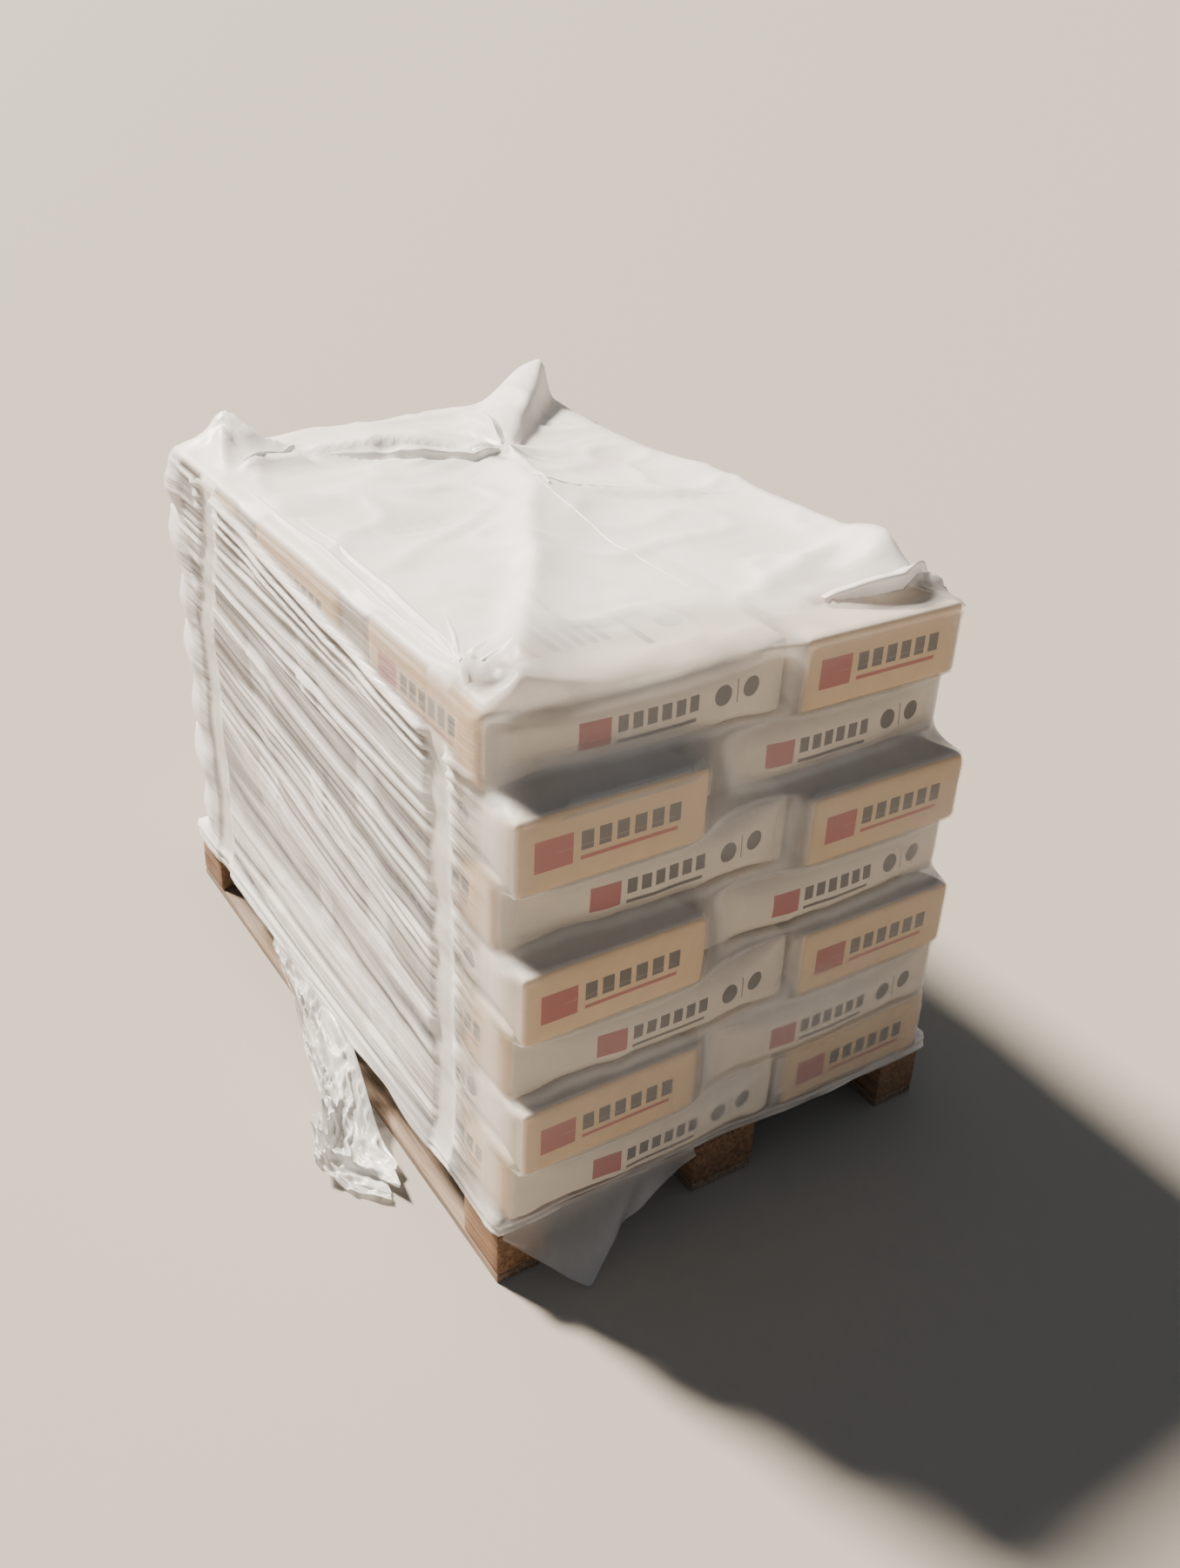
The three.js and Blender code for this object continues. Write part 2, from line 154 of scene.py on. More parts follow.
@dataclass
class Surface:
    """A grid of points, along the piece first and then round or across it, with what its material reads."""

    points: Array
    closed_round: bool = False
    capped: bool = False
    values: dict[str, Array] = field(default_factory=dict)
    corner_map: Array | None = None

    def quads(self) -> Array:
        """Number the four corners of each quad, row by row.

        Returns:
            Rows of four indices.
        """
        rows, columns = self.points.shape[:2]
        index = np.arange(rows * columns).reshape(rows, columns)
        after = np.roll(index, -1, axis=1) if self.closed_round else index[:, 1:]
        here = index if self.closed_round else index[:, :-1]
        return np.stack([here[:-1], after[:-1], after[1:], here[1:]], axis=-1).reshape(-1, 4)

    def turned(self) -> bool:
        """Tell whether a capped surface's quads face inwards: the pyramids from its middle add up below 0.

        Returns:
            True where they do, and False for an open surface.
        """
        if not self.capped:
            return False
        points = self.points.reshape(-1, 3)
        corners = points[self.quads()] - points.mean(axis=0)
        first = np.cross(corners[:, 0], corners[:, 1])
        second = np.cross(corners[:, 0], corners[:, 2])
        return bool((first * corners[:, 2]).sum() + (second * corners[:, 3]).sum() < 0.0)

    def outward(self, corners: Array) -> Array:
        """Return what goes with each quad's corners in the order that faces outwards."""
        return corners[:, ::-1] if self.turned() else corners

    def caps(self) -> list[list[int]]:
        """Make faces of the first and the last ring, if the surface is capped.

        Returns:
            Each face's corner indices.
        """
        if not self.capped:
            return []
        rows, columns = self.points.shape[:2]
        first, last = list(range(columns))[::-1], list(range((rows - 1) * columns, rows * columns))
        return [first[::-1], last[::-1]] if self.turned() else [first, last]

    def flat_values(self, key: str) -> Array:
        """Return one named value for each point, as rows of one or three numbers."""
        return self.values[key].reshape(self.points[..., 0].size, -1)


def linked(name: str, data: bpy.types.ID) -> bpy.types.Object:
    """Make an object of a mesh, a lamp or a camera, and link it to the scene."""
    made = bpy.data.objects.new(name, data)
    bpy.context.scene.collection.objects.link(made)
    return made


def standing_matrix(*columns: Array) -> Matrix:
    """Make the matrix of an object from its three axes and its place."""
    return Matrix(np.vstack([np.column_stack(columns), (0.0, 0.0, 0.0, 1.0)]).tolist())


def mesh_object(name: str, surfaces: list[Surface], material: Material) -> bpy.types.Object:
    """Put surfaces into one smooth-shaded object at the origin, with the points that they share welded.

    Args:
        name: The object's name.
        surfaces: The grids and what goes with them. All of them have the same values.
        material: Their finish.

    Returns:
        The new object, linked to the scene.
    """
    points = np.concatenate([surface.points.reshape(-1, 3) for surface in surfaces])
    starts = np.cumsum([0] + [surface.points[..., 0].size for surface in surfaces[:-1]])
    quads = np.concatenate([surface.outward(surface.quads()) + start for surface, start in zip(surfaces, starts)])
    _, first, welded = np.unique(np.round(points, 6), axis=0, return_index=True, return_inverse=True)
    welded = welded.reshape(-1)
    faces = welded[quads].tolist()
    for surface, start in zip(surfaces, starts):
        faces += [welded[np.array(cap) + start].tolist() for cap in surface.caps()]
    mesh = bpy.data.meshes.new(name)
    mesh.from_pydata(points[first].tolist(), [], faces)
    for key in surfaces[0].values:
        values = np.concatenate([surface.flat_values(key) for surface in surfaces])[first]
        kind, slot = ("FLOAT_VECTOR", "vector") if values.shape[1] == 3 else ("FLOAT", "value")
        layer = mesh.attributes.new(key, kind, "POINT")
        layer.data.foreach_set(slot, values.reshape(-1).astype(np.float32))
    if surfaces[0].corner_map is not None:
        pairs = np.concatenate([surface.outward(surface.corner_map) for surface in surfaces]).reshape(-1, 2)
        layer = mesh.uv_layers.new(name="face_mm")
        full = np.zeros((len(mesh.loops), 2), np.float32)
        full[: len(pairs)] = pairs
        layer.uv.foreach_set("vector", full.reshape(-1))
    mesh.polygons.foreach_set("use_smooth", [True] * len(mesh.polygons))
    mesh.materials.append(material)
    mesh.update()
    return linked(name, mesh)


def rounded_edge(radius: float, steps: int) -> tuple[Array, Array]:
    """Return how far a quarter-round edge lies in from the side and back from the end, at each step but the last."""
    turn = np.linspace(0.0, math.pi / 2.0, steps)[:-1]
    return radius * (1.0 - np.sin(turn)), radius * (1.0 - np.cos(turn))


def end_to_end(cap: Array, body: Array, sign: float) -> Array:
    """Return a cap's numbers times a sign, the body's, and the cap's again in reverse."""
    return np.concatenate([sign * cap, body, cap[::-1]])


def round_box_ring(half_width: Array, half_height: Array, radius: Array, count: int) -> Array:
    """Give points round a rectangle with round corners.

    A point on the plain rectangle is drawn to its nearest place on the rectangle that is smaller by the
    radius, and set out from there by the radius. Points stand closer near the corners.

    Args:
        half_width: Half the width of each ring.
        half_height: Half the height of each ring.
        radius: The corner radius of each ring.
        count: Points in a ring, a multiple of 4.

    Returns:
        Rings of (across, up) pairs, anticlockwise from the middle of the right side.
    """
    side = count // 4
    step = (np.arange(side) + 0.5) / side * 2.0 - 1.0
    one = np.ones(side)
    bunched = np.sin(step * math.pi / 2.0) * 0.45 + step * 0.55
    across = np.concatenate([one, -bunched, -one, bunched])
    up = np.concatenate([bunched, one, -bunched, -one])
    width, height, corner = (np.asarray(v, float)[:, None] for v in (half_width, half_height, radius))
    corner = np.minimum(corner, np.minimum(width, height) * 0.999)
    outer = placed(across * width, up * height)
    inner_size = placed(width - corner, height - corner)
    inner = np.clip(outer, -inner_size, inner_size)
    reach = outer - inner
    length = np.maximum(np.linalg.norm(reach, axis=-1, keepdims=True), 1e-9)
    return inner + reach / length * corner[..., None]


def add_node(
    tree: Tree, kind: str, inputs: dict | tuple = (), output: int | str = 0, **settings: str | bool
) -> Socket:
    """Add a node to a tree, with its settings and what feeds it.

    Args:
        tree: The material's node tree.
        kind: The end of Blender's name for the kind of node, after ShaderNode.
        inputs: A socket to link, a hex colour or a plain value for each input, by name or place.
        output: The output that is wanted, by name or place.
        settings: Properties of the node to set.

    Returns:
        The output's socket.
    """
    node = tree.nodes.new("ShaderNode" + kind)
    for key, value in settings.items():
        setattr(node, key, value)
    for key, value in inputs.items() if isinstance(inputs, dict) else enumerate(inputs):
        if isinstance(value, Socket):
            tree.links.new(value, node.inputs[key])
        else:
            node.inputs[key].default_value = linear_colour(value) if isinstance(value, str) else value
    return node.outputs[output]


def new_material(name: str) -> tuple[Material, Tree, Socket]:
    """Make a node material without a shader.

    Args:
        name: The finish's name.

    Returns:
        The material, its node tree and the socket that its shader goes to.
    """
    material = bpy.data.materials.new(name)
    material.use_nodes = True
    tree = material.node_tree
    tree.nodes.clear()
    return material, tree, tree.nodes.new("ShaderNodeOutputMaterial").inputs[0]


# Finishes

# How coarse a streak is along its run, as a share of how fine it is across
STREAK_RUN = 0.035


@dataclass(frozen=True)
class WeatheredPine:
    """Sawn softwood left outdoors: greyed late-wood streaks along the grain over warm brown, and quite dull."""

    name: str
    pale: str
    dark: str
    grey: str
    grain_mm: float = 7.0

    def material(self) -> Material:
        """Build the node material. It reads the piece's own grain attribute: along, across and up, in metres.

        Returns:
            The material.
        """
        material, tree, surface = new_material(self.name)
        grain = add_node(tree, "Attribute", output="Vector", attribute_name="grain")
        fine = 1.0 / (self.grain_mm * MM)
        drawn_out = add_node(tree, "VectorMath", (grain, (fine * STREAK_RUN, fine, fine)), operation="MULTIPLY")
        noise = {"Vector": drawn_out, "Scale": 1.0, "Detail": 5.0, "Roughness": 0.65, "Distortion": 0.6}
        streaks = add_node(tree, "TexNoise", noise, "Fac")
        patches = add_node(tree, "TexNoise", {"Vector": grain, "Scale": 6.0, "Detail": 3.0}, "Fac")
        wood = add_node(tree, "ValToRGB", {"Fac": streaks}, "Color")
        for element, place, colour in zip(wood.node.color_ramp.elements, (0.36, 0.62), (self.dark, self.pale)):
            element.position = place
            element.color = linear_colour(colour)
        weathered = add_node(tree, "MapRange", (patches, 0.42, 0.7, 0.0, 0.55))
        colour = add_node(tree, "Mix", {0: weathered, 6: wood, 7: self.grey}, 2, data_type="RGBA")
        rough = add_node(tree, "MapRange", (streaks, 0.3, 0.7, 0.95, 0.75))
        bump = add_node(tree, "Bump", {"Height": streaks, "Strength": 0.6, "Distance": 1.2 * MM})
        skin = add_node(tree, "BsdfPrincipled", {"Base Color": colour, "Roughness": rough, "Normal": bump})
        tree.links.new(skin, surface)
        return material


class PrintFace(Enum):
    """Which face of a sack a corner of its map lies on, as the whole metres added to the map's height."""

    END = 1
    SIDE = 2
    TOP = 4
    BOTTOM = 6


@dataclass(frozen=True)
class PrintShape:
    """One printed shape: its middle and half sizes in millimetres on a face, and its ink."""

    face: PrintFace
    across: float
    up: float
    half_width: float
    half_height: float
    red: bool = False
    disc: bool = False


def printed_shapes() -> list[PrintShape]:
    """Lay out a plain generic print: a red square and dark upright bars over a thin rule, and two dark discs.

    Returns:
        The shapes of all three printed faces.
    """
    shapes = []
    # For each face: middle across, and how much larger than life-size units the layout is drawn
    for face, middle, scale in ((PrintFace.END, 0.0, 1.12), (PrintFace.SIDE, -8.0, 0.94)):
        shapes.append(PrintShape(face, middle - 80.0 * scale, 54.0, 24.0 * scale, 20.0 * scale, True))
        for bar in range(6):
            across = middle + (-38.0 + bar * 23.0) * scale
            shapes.append(PrintShape(face, across, 60.0, 8.0 * scale, 12.0 * scale))
        shapes.append(PrintShape(face, middle + 18.0 * scale, 36.0, 64.0 * scale, 3.0, face == PrintFace.END))
    shapes += [PrintShape(PrintFace.SIDE, across, 58.0, 14.5, 14.5, disc=True) for across in (113.0, 162.0)]
    shapes.append(PrintShape(PrintFace.SIDE, 137.5, 58.0, 0.9, 17.0))
    shapes.append(PrintShape(PrintFace.TOP, -135.0, 0.0, 44.0, 58.0, True))
    shapes += [PrintShape(PrintFace.TOP, -62.0 + bar * 19.0, 0.0, 5.5, 54.0) for bar in range(5)]
    shapes.append(PrintShape(PrintFace.TOP, 58.0, 0.0, 6.0, 88.0))
    shapes += [PrintShape(PrintFace.TOP, 118.0, up, 20.0, 20.0, disc=True) for up in (-38.0, 38.0)]
    return shapes


@dataclass(frozen=True)
class KraftSackPaper:
    """Two-ply bleached sack paper with a kraft-brown folded end: matt, softly creased, printed in two inks."""

    name: str = "sack_paper"
    body: str = "#D9CBB8"
    end: str = "#CFAF84"
    red_ink: str = "#982B2A"
    dark_ink: str = "#231F1F"
    ink_share: float = 0.9
    roughness: float = 0.72

    def material(self) -> Material:
        """Build the node material. It reads the face map in metres and the sack's own tone.

        Returns:
            The material.
        """
        material, tree, surface = new_material(self.name)
        face_map = add_node(tree, "UVMap", uv_map="face_mm")
        noise = {"Scale": 26.0, "Detail": 6.0, "Roughness": 0.6, "Distortion": 0.8}
        creased = add_node(tree, "TexNoise", {"Vector": add_node(tree, "TexCoord", output="Object"), **noise}, "Fac")
        # The folded end is where the map's height lies within half a metre of its face's whole number
        height = add_node(tree, "SeparateXYZ", (face_map,), "Y")
        offset = add_node(tree, "Math", (height, float(PrintFace.END.value)), operation="SUBTRACT")
        distance = add_node(tree, "Math", (offset,), operation="ABSOLUTE")
        on_end = add_node(tree, "Math", (distance, 0.5), operation="LESS_THAN")
        paper = add_node(tree, "Mix", {0: on_end, 6: self.body, 7: self.end}, 2, data_type="RGBA")
        tone = add_node(tree, "Attribute", output="Fac", attribute_name="tone")
        shade = add_node(tree, "MapRange", (tone, 0.0, 1.0, 0.88, 1.04))
        blotch = add_node(tree, "MapRange", (creased, 0.3, 0.7, 0.93, 1.03))
        level = add_node(tree, "Math", (shade, blotch), operation="MULTIPLY")
        colour = add_node(tree, "VectorMath", {0: paper, "Scale": level}, operation="SCALE")
        for ink, red in ((self.red_ink, True), (self.dark_ink, False)):
            mask = self.ink_mask(tree, face_map, [shape for shape in printed_shapes() if shape.red == red])
            worn = add_node(tree, "Math", (mask, self.ink_share), operation="MULTIPLY")
            colour = add_node(tree, "Mix", {0: worn, 6: colour, 7: ink}, 2, data_type="RGBA")
        bump = add_node(tree, "Bump", {"Height": creased, "Strength": 0.35, "Distance": 2.0 * MM})
        skin = {"Base Color": colour, "Roughness": self.roughness, "Normal": bump}
        tree.links.new(add_node(tree, "BsdfPrincipled", skin), surface)
        return material

    def ink_mask(self, tree: Tree, face_map: Socket, shapes: list[PrintShape]) -> Socket:
        """Give 1 inside any of the shapes: a box by the larger of two distances, a disc by the round one.

        Args:
            tree: The material's node tree.
            face_map: The face map's socket.
            shapes: The shapes of one ink.

        Returns:
            The mask's socket.
        """
        total = None
        for shape in shapes:
            centre = (shape.across * MM, shape.up * MM + shape.face.value, 0.0)
            per_size = (1.0 / (shape.half_width * MM), 1.0 / (shape.half_height * MM), 0.0)
            moved = add_node(tree, "VectorMath", (face_map, centre), operation="SUBTRACT")
            scaled = add_node(tree, "VectorMath", (moved, per_size), operation="MULTIPLY")
            if shape.disc:
                distance = add_node(tree, "VectorMath", (scaled,), "Value", operation="LENGTH")
            else:
                sizes = add_node(tree, "VectorMath", (scaled,), operation="ABSOLUTE")
                across, up, _ = add_node(tree, "SeparateXYZ", (sizes,)).node.outputs
                distance = add_node(tree, "Math", (across, up), operation="MAXIMUM")
            inside = add_node(tree, "Math", (distance, 1.0), operation="LESS_THAN")
            total = inside if total is None else add_node(tree, "Math", (total, inside), operation="MAXIMUM")
        return total


@dataclass(frozen=True)
class StretchFilm:
    """Blown low-density polyethylene film: glossy, clear where it clings to paper and milky where it stands off.

    Its cover attribute is the share of what lies behind that the film hides, its ridged attribute says where
    the film has fine taut streaks, and its shade attribute is painted shade: it mixes the film towards a dark
    tint where shade falls, in grooves, hollows and under folds.
    """

    name: str
    tint: str
    # Painted shade: the dark bluish tint that shaded grooves, hollows and openings are mixed towards
    painted_shade_tint: str = "#3D3D43"
    through_share: float = 0.2
    ior: float = 1.5
    roughness: float = 0.42
    taut_roughness: float = 0.24
    streak_mm: float = 6.0
    streak_cover: float = 0.16

    def material(self) -> Material:
        """Build the node material: film over a Transparent shader, by the cover attribute.

        Returns:
            The material.
        """
        material, tree, surface = new_material(self.name)
        names = ("cover", "ridged", "shade")
        cover, ridged, shade = (add_node(tree, "Attribute", output="Fac", attribute_name=name) for name in names)
        run = add_node(tree, "Attribute", output="Vector", attribute_name="film_run")
        fine = 1.0 / (self.streak_mm * MM)
        drawn_out = add_node(tree, "VectorMath", (run, (fine * STREAK_RUN, fine, fine)), operation="MULTIPLY")
        streaks = add_node(tree, "TexNoise", {"Vector": drawn_out, "Scale": 1.0, "Detail": 3.0}, "Fac")
        clouds = add_node(tree, "TexNoise", {"Vector": run, "Scale": 14.0, "Detail": 3.0}, "Fac")
        cloud_share = add_node(tree, "MapRange", (clouds, 0.3, 0.7, 0.9, 1.1))
        cloudy = add_node(tree, "Math", (cover, cloud_share), operation="MULTIPLY")
        streak_share = add_node(tree, "MapRange", (streaks, 0.35, 0.65, -self.streak_cover, self.streak_cover))
        streaky = add_node(tree, "Math", (streak_share, ridged), operation="MULTIPLY")
        covered = add_node(tree, "Math", (cloudy, streaky), operation="ADD", use_clamp=True)
        height = add_node(tree, "Math", (streaks, ridged), operation="MULTIPLY")
        low = add_node(tree, "Bump", {"Height": height, "Strength": 0.9, "Distance": 2.2 * MM})
        bump = add_node(tree, "Bump", {"Height": clouds, "Strength": 0.3, "Distance": 4.0 * MM, "Normal": low})
        # Painted shade: the shade attribute darkens the film's colour towards the shade tint
        colour = add_node(tree, "Mix", {0: shade, 6: self.tint, 7: self.painted_shade_tint}, 2, data_type="RGBA")
        rough = add_node(tree, "MapRange", (ridged, 0.0, 1.0, self.roughness, self.taut_roughness))
        skin = {"Base Color": colour, "Roughness": rough, "IOR": self.ior, "Normal": bump}
        through = add_node(tree, "BsdfTranslucent", {"Color": colour, "Normal": bump})
        film = add_node(tree, "MixShader", (self.through_share, add_node(tree, "BsdfPrincipled", skin), through))
        mixed = add_node(tree, "MixShader", (covered, add_node(tree, "BsdfTransparent"), film))
        tree.links.new(mixed, surface)
        return material


@dataclass(frozen=True)
class PaperFloor:
    """Seamless studio backdrop paper: pale, warm grey and matt."""

    name: str = "backdrop_paper"
    colour: str = "#99938A"
    roughness: float = 0.9

    def material(self) -> Material:
        """Build the plain node material.

        Returns:
            The material.
        """
        material, tree, surface = new_material(self.name)
        skin = add_node(tree, "BsdfPrincipled", {"Base Color": self.colour, "Roughness": self.roughness})
        tree.links.new(skin, surface)
        return material


# The pallet


@dataclass
class Pallet:
    """The wooden block pallet: boards and blocks that replace the frame's plain ones in the same places."""

    stations: int = 60
    half_length: float = 0.6
    ring: int = 32
    edge_radius: float = 2.0 * MM
    fuzz: float = 0.6 * MM
    wane: float = 3.0 * MM

    def names(self) -> list[str]:
        """Name the frame's wooden nodes.

        Returns:
            The names, from the floor upwards.
        """
        sides = ("left", "centre", "right")
        rows = ("front", "middle", "back")
        names = [f"bottom_board_{side}" for side in sides]
        names += [f"block_{row}_{side}" for row in rows for side in sides]
        names += [f"stringer_board_{row}" for row in rows]
        return names + [f"deck_board_{i}" for i in range(1, 6)]

    def wood_surface(self, node: str, seed: int) -> Surface:
        """Loft a rounded rectangle along the wood's grain, with a rough skin and a slightly waney edge.

        Args:
            node: The frame's node, whose box gives the piece's size and place.
            seed: Picks this piece's own roughness and grain.

        Returns:
            The closed surface, with its grain attribute.
        """
        low, high = (np.array(corner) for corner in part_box(node))
        middle, half = (low + high) / 2.0, (high - low) / 2.0
        along = 0 if node.startswith("stringer") else 1
        across = 1 - along
        edge = self.edge_radius
        steps = max(6, int(self.stations * half[along] / self.half_length))
        body = np.linspace(-half[along] + edge, half[along] - edge, steps)
        inwards, back = rounded_edge(edge, 3)
        face = half[2] * np.array([0.8, 0.5, 0.25])
        inset = end_to_end(np.concatenate([face, inwards]), np.zeros(steps), 1.0)
        place = end_to_end(half[along] - np.concatenate([0.0 * face, back]), body, -1.0)
        ring = round_box_ring(half[across] - inset, half[2] - inset, np.full(len(inset), edge), self.ring)
        points = np.zeros(ring.shape[:2] + (3,))
        points[..., along] = place[:, None]
        points[..., across] = ring[..., 0] if along == 1 else -ring[..., 0]
        points[..., 2] = ring[..., 1]
        grain = points[..., [along, across, 2]]
        rough = np.abs(layered_noise(grain * np.array([18.0, 160.0, 160.0]), seed) * self.fuzz)
        wane = np.maximum(0.0, smooth_noise(grain[..., :1] * 4.0, seed + 5)) * self.wane
        at_edge = ramp(np.abs(points[..., across]), half[across] * 0.8, half[across])
        upper = ramp(points[..., 2], -half[2], half[2])
        points[..., across] *= 1.0 - (rough + wane * at_edge * upper) / half[across]
        points[..., 2] *= 1.0 - rough / half[2] * 0.5
        return Surface(points + middle, True, True, {"grain": grain + seed * 0.37})

    def build(self, boards: Material, blocks: Material) -> list[bpy.types.Object]:
        """Make every board and block.

        Args:
            boards: The finish of the boards.
            blocks: The finish of the blocks.

        Returns:
            The pieces.
        """
        pieces = []
        for seed, node in enumerate(self.names()):
            block = node.startswith("block")
            piece = mesh_object(f"wood_{node}", [self.wood_surface(node, seed + 3)], blocks if block else boards)
            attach(piece, "root")
            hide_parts(node)
            pieces.append(piece)
        return pieces


# The sacks


@dataclass
class Sack:
    """One filled paper sack: a loft of rounded rectangles from end to end, boxy at the ends and round between."""

    node: str
    seed: int
    end_radius: float = 7.0 * MM
    end_bulge: float = 3.0 * MM
    belly_radius: float = 42.0 * MM
    belly_from_end: float = 95.0 * MM
    cross_tuck: float = 26.0 * MM
    along_tuck: float = 6.0 * MM
    dent_width: float = 0.075
    dent_depth: float = 3.5 * MM
    crease_depth: float = 3.0 * MM
    cap_steps: int = 6
    print_middle: float = 54.0 * MM

    @property
    def along(self) -> int:
        """Return the axis that the sack's length runs along: 0 for X, 1 for Y."""
        return 0 if "_cross_" in self.node else 1

    def surface(self, body_steps: int, ring_count: int) -> Surface:
        """Work out the sack's surface.

        Ring by ring, the half width and height shrink over the caps by a list of insets, and the corner
        radius grows from the folded end to the belly. The width is tucked in towards the ends, by a power of
        the distance from the middle. Dents and creases push the skin inwards by noise.

        Args:
            body_steps: Rings between the two ends.
            ring_count: Points in each ring, a multiple of 4.

        Returns:
            The closed surface, with its tone attribute and its map of the printed faces.
        """
        low, high = (np.array(corner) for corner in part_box(self.node))
        middle, half = (low + high) / 2.0, (high - low) / 2.0
        along, across, edge = self.along, 1 - self.along, self.end_radius
        inwards, back = rounded_edge(edge, 4)
        flat = np.linspace(0.998, 0.2, self.cap_steps)
        cap_inset = np.concatenate([half[2] * flat, inwards])
        bulge = self.end_bulge * (1.0 - (1.0 - flat) ** 2)
        body_end = half[along] - self.end_bulge
        spread = np.linspace(-1.0, 1.0, body_steps)
        body = (body_end - edge) * (0.72 * spread + 0.28 * np.sin(spread * math.pi / 2.0))
        inset = end_to_end(cap_inset, np.zeros(body_steps), 1.0)
        place = end_to_end(body_end + np.concatenate([bulge, -back]), body, -1.0)
        belly = ramp(half[along] - np.abs(place), 0.0, self.belly_from_end)
        radius = edge + (self.belly_radius - edge) * belly
        full_tuck = self.cross_tuck if along == 0 else self.along_tuck
        tuck = full_tuck * np.clip(np.abs(place) / half[along], 0.0, 1.0) ** 2.4
        ring = round_box_ring(half[across] - inset - tuck, half[2] - inset, radius, ring_count)
        local = placed(place[:, None], ring[..., 0], ring[..., 1])
        dented = self.dented(local, half[[along, across, 2]], belly[:, None])
        points = np.zeros_like(local)
        points[..., along] = dented[..., 0]
        points[..., across] = dented[..., 1] if along == 1 else -dented[..., 1]
        points[..., 2] = dented[..., 2]
        tone = (lattice_value(np.array([[self.seed, 7.0]]), 3)[0] + 1.0) / 2.0
        surface = Surface(points + middle, True, True, {"tone": np.full(points.shape[:2], tone)})
        surface.corner_map = self.face_map(surface, middle, len(cap_inset))
        return surface

    def dented(self, local: Array, half: Array, belly: Array) -> Array:
        """Push the skin inwards by wide dents on the belly and short creases along its edges.

        Args:
            local: Points as along, across and up from the sack's middle.
            half: The half sizes in the same order.
            belly: For each ring, 0 at the ends and 1 over the belly.

        Returns:
            The moved points.
        """
        dents = np.abs(smooth_noise(local / self.dent_width + self.seed * 3.1, self.seed))
        across, up = np.abs(local[..., 1]), np.abs(local[..., 2])
        corner = ramp(across, half[1] * 0.72, half[1]) * ramp(up, half[2] * 0.3, half[2])
        short = creases(local / np.array([0.022, 0.05, 0.05]) + self.seed, self.seed + 9, 6)
        depth = dents * self.dent_depth * (0.35 + 0.65 * belly) + short * self.crease_depth * corner
        moved = local.copy()
        moved[..., 1] *= 1.0 - depth / half[1]
        moved[..., 2] *= 1.0 - depth * 0.35 / half[2]
        return moved

    def face_map(self, surface: Surface, middle: Array, caps: int) -> Array:
        """Map each quad's corners to metres across and up its face, plus whole metres that name the face.

        Across runs to the right as seen from outside: up crossed with the face's outward direction.

        Args:
            surface: The sack's grid.
            middle: The sack's middle.
            caps: How many rings each end cap has.

        Returns:
            For each quad, four pairs.
        """
        quads = surface.quads()
        rings, count = surface.points.shape[0] - 1, surface.points.shape[1]
        quad_ring = np.repeat(np.arange(rings), count)
        quarter = (np.tile(np.arange(count), rings) // (count // 4)) % 4
        end = (quad_ring < caps - 1) | (quad_ring >= rings - caps + 1)
        along, across = self.along, 1 - self.along
        outward = np.zeros((len(quads), 3))
        outward[end, along] = np.where(quad_ring[end] < caps, -1.0, 1.0)
        side = ~end & (quarter % 2 == 0)
        flip = 1.0 if along == 1 else -1.0
        outward[side, across] = np.where(quarter[side] == 0, 1.0, -1.0) * flip
        right = np.cross(np.array([0.0, 0.0, 1.0]), outward)
        corners = surface.points.reshape(-1, 3)[quads] - middle
        across_m = np.einsum("qck,qk->qc", corners, right)
        up_m = corners[..., 2] + self.print_middle
        level = ~end & (quarter % 2 == 1)
        across_m[level] = corners[level][..., along]
        up_m[level] = corners[level][..., across]
        face = np.where(end, PrintFace.END.value, PrintFace.SIDE.value)
        face = np.where(level & (quarter == 1), PrintFace.TOP.value, face)
        face = np.where(level & (quarter == 3), PrintFace.BOTTOM.value, face)
        return placed(across_m, up_m + face[:, None])


@dataclass
class SackLoad:
    """The seven interlocked layers of sacks."""

    layers: int = 7
    body_steps: int = 44
    ring_count: int = 72
    cloud_steps: int = 190
    cloud_ring: int = 320
    cloud_caps: int = 20
    fill: float = 0.95

    def sacks(self, **sizes: int) -> list[Sack]:
        """List the sacks from the deck upwards, each with a seed of its own.

        Args:
            sizes: Sizes of the sacks that differ from the usual ones.

        Returns:
            The sacks.
        """
        return [
            Sack(f"sack_layer{layer}_{kind}_{i}", layer * 11 + i + shift, **sizes)
            for layer in range(1, self.layers + 1)
            for kind, count, shift in (("cross", 3, 0), ("along", 2, 5))
            for i in range(1, count + 1)
        ]

    def build(self, paper: Material) -> list[bpy.types.Object]:
        """Make every sack.

        Args:
            paper: The finish of the sacks.

        Returns:
            The pieces.
        """
        pieces = []
        for sack in self.sacks():
            piece = mesh_object(f"paper_{sack.node}", [sack.surface(self.body_steps, self.ring_count)], paper)
            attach(piece, "root")
            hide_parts(sack.node)
            pieces.append(piece)
        return pieces

    def sampled_points(self) -> Array:
        """Return points all over the sacks, about 3 mm apart, for the film to settle on."""
        sacks = self.sacks(cap_steps=self.cloud_caps)
        return np.concatenate([s.surface(self.cloud_steps, self.cloud_ring).points.reshape(-1, 3) for s in sacks])


# The film


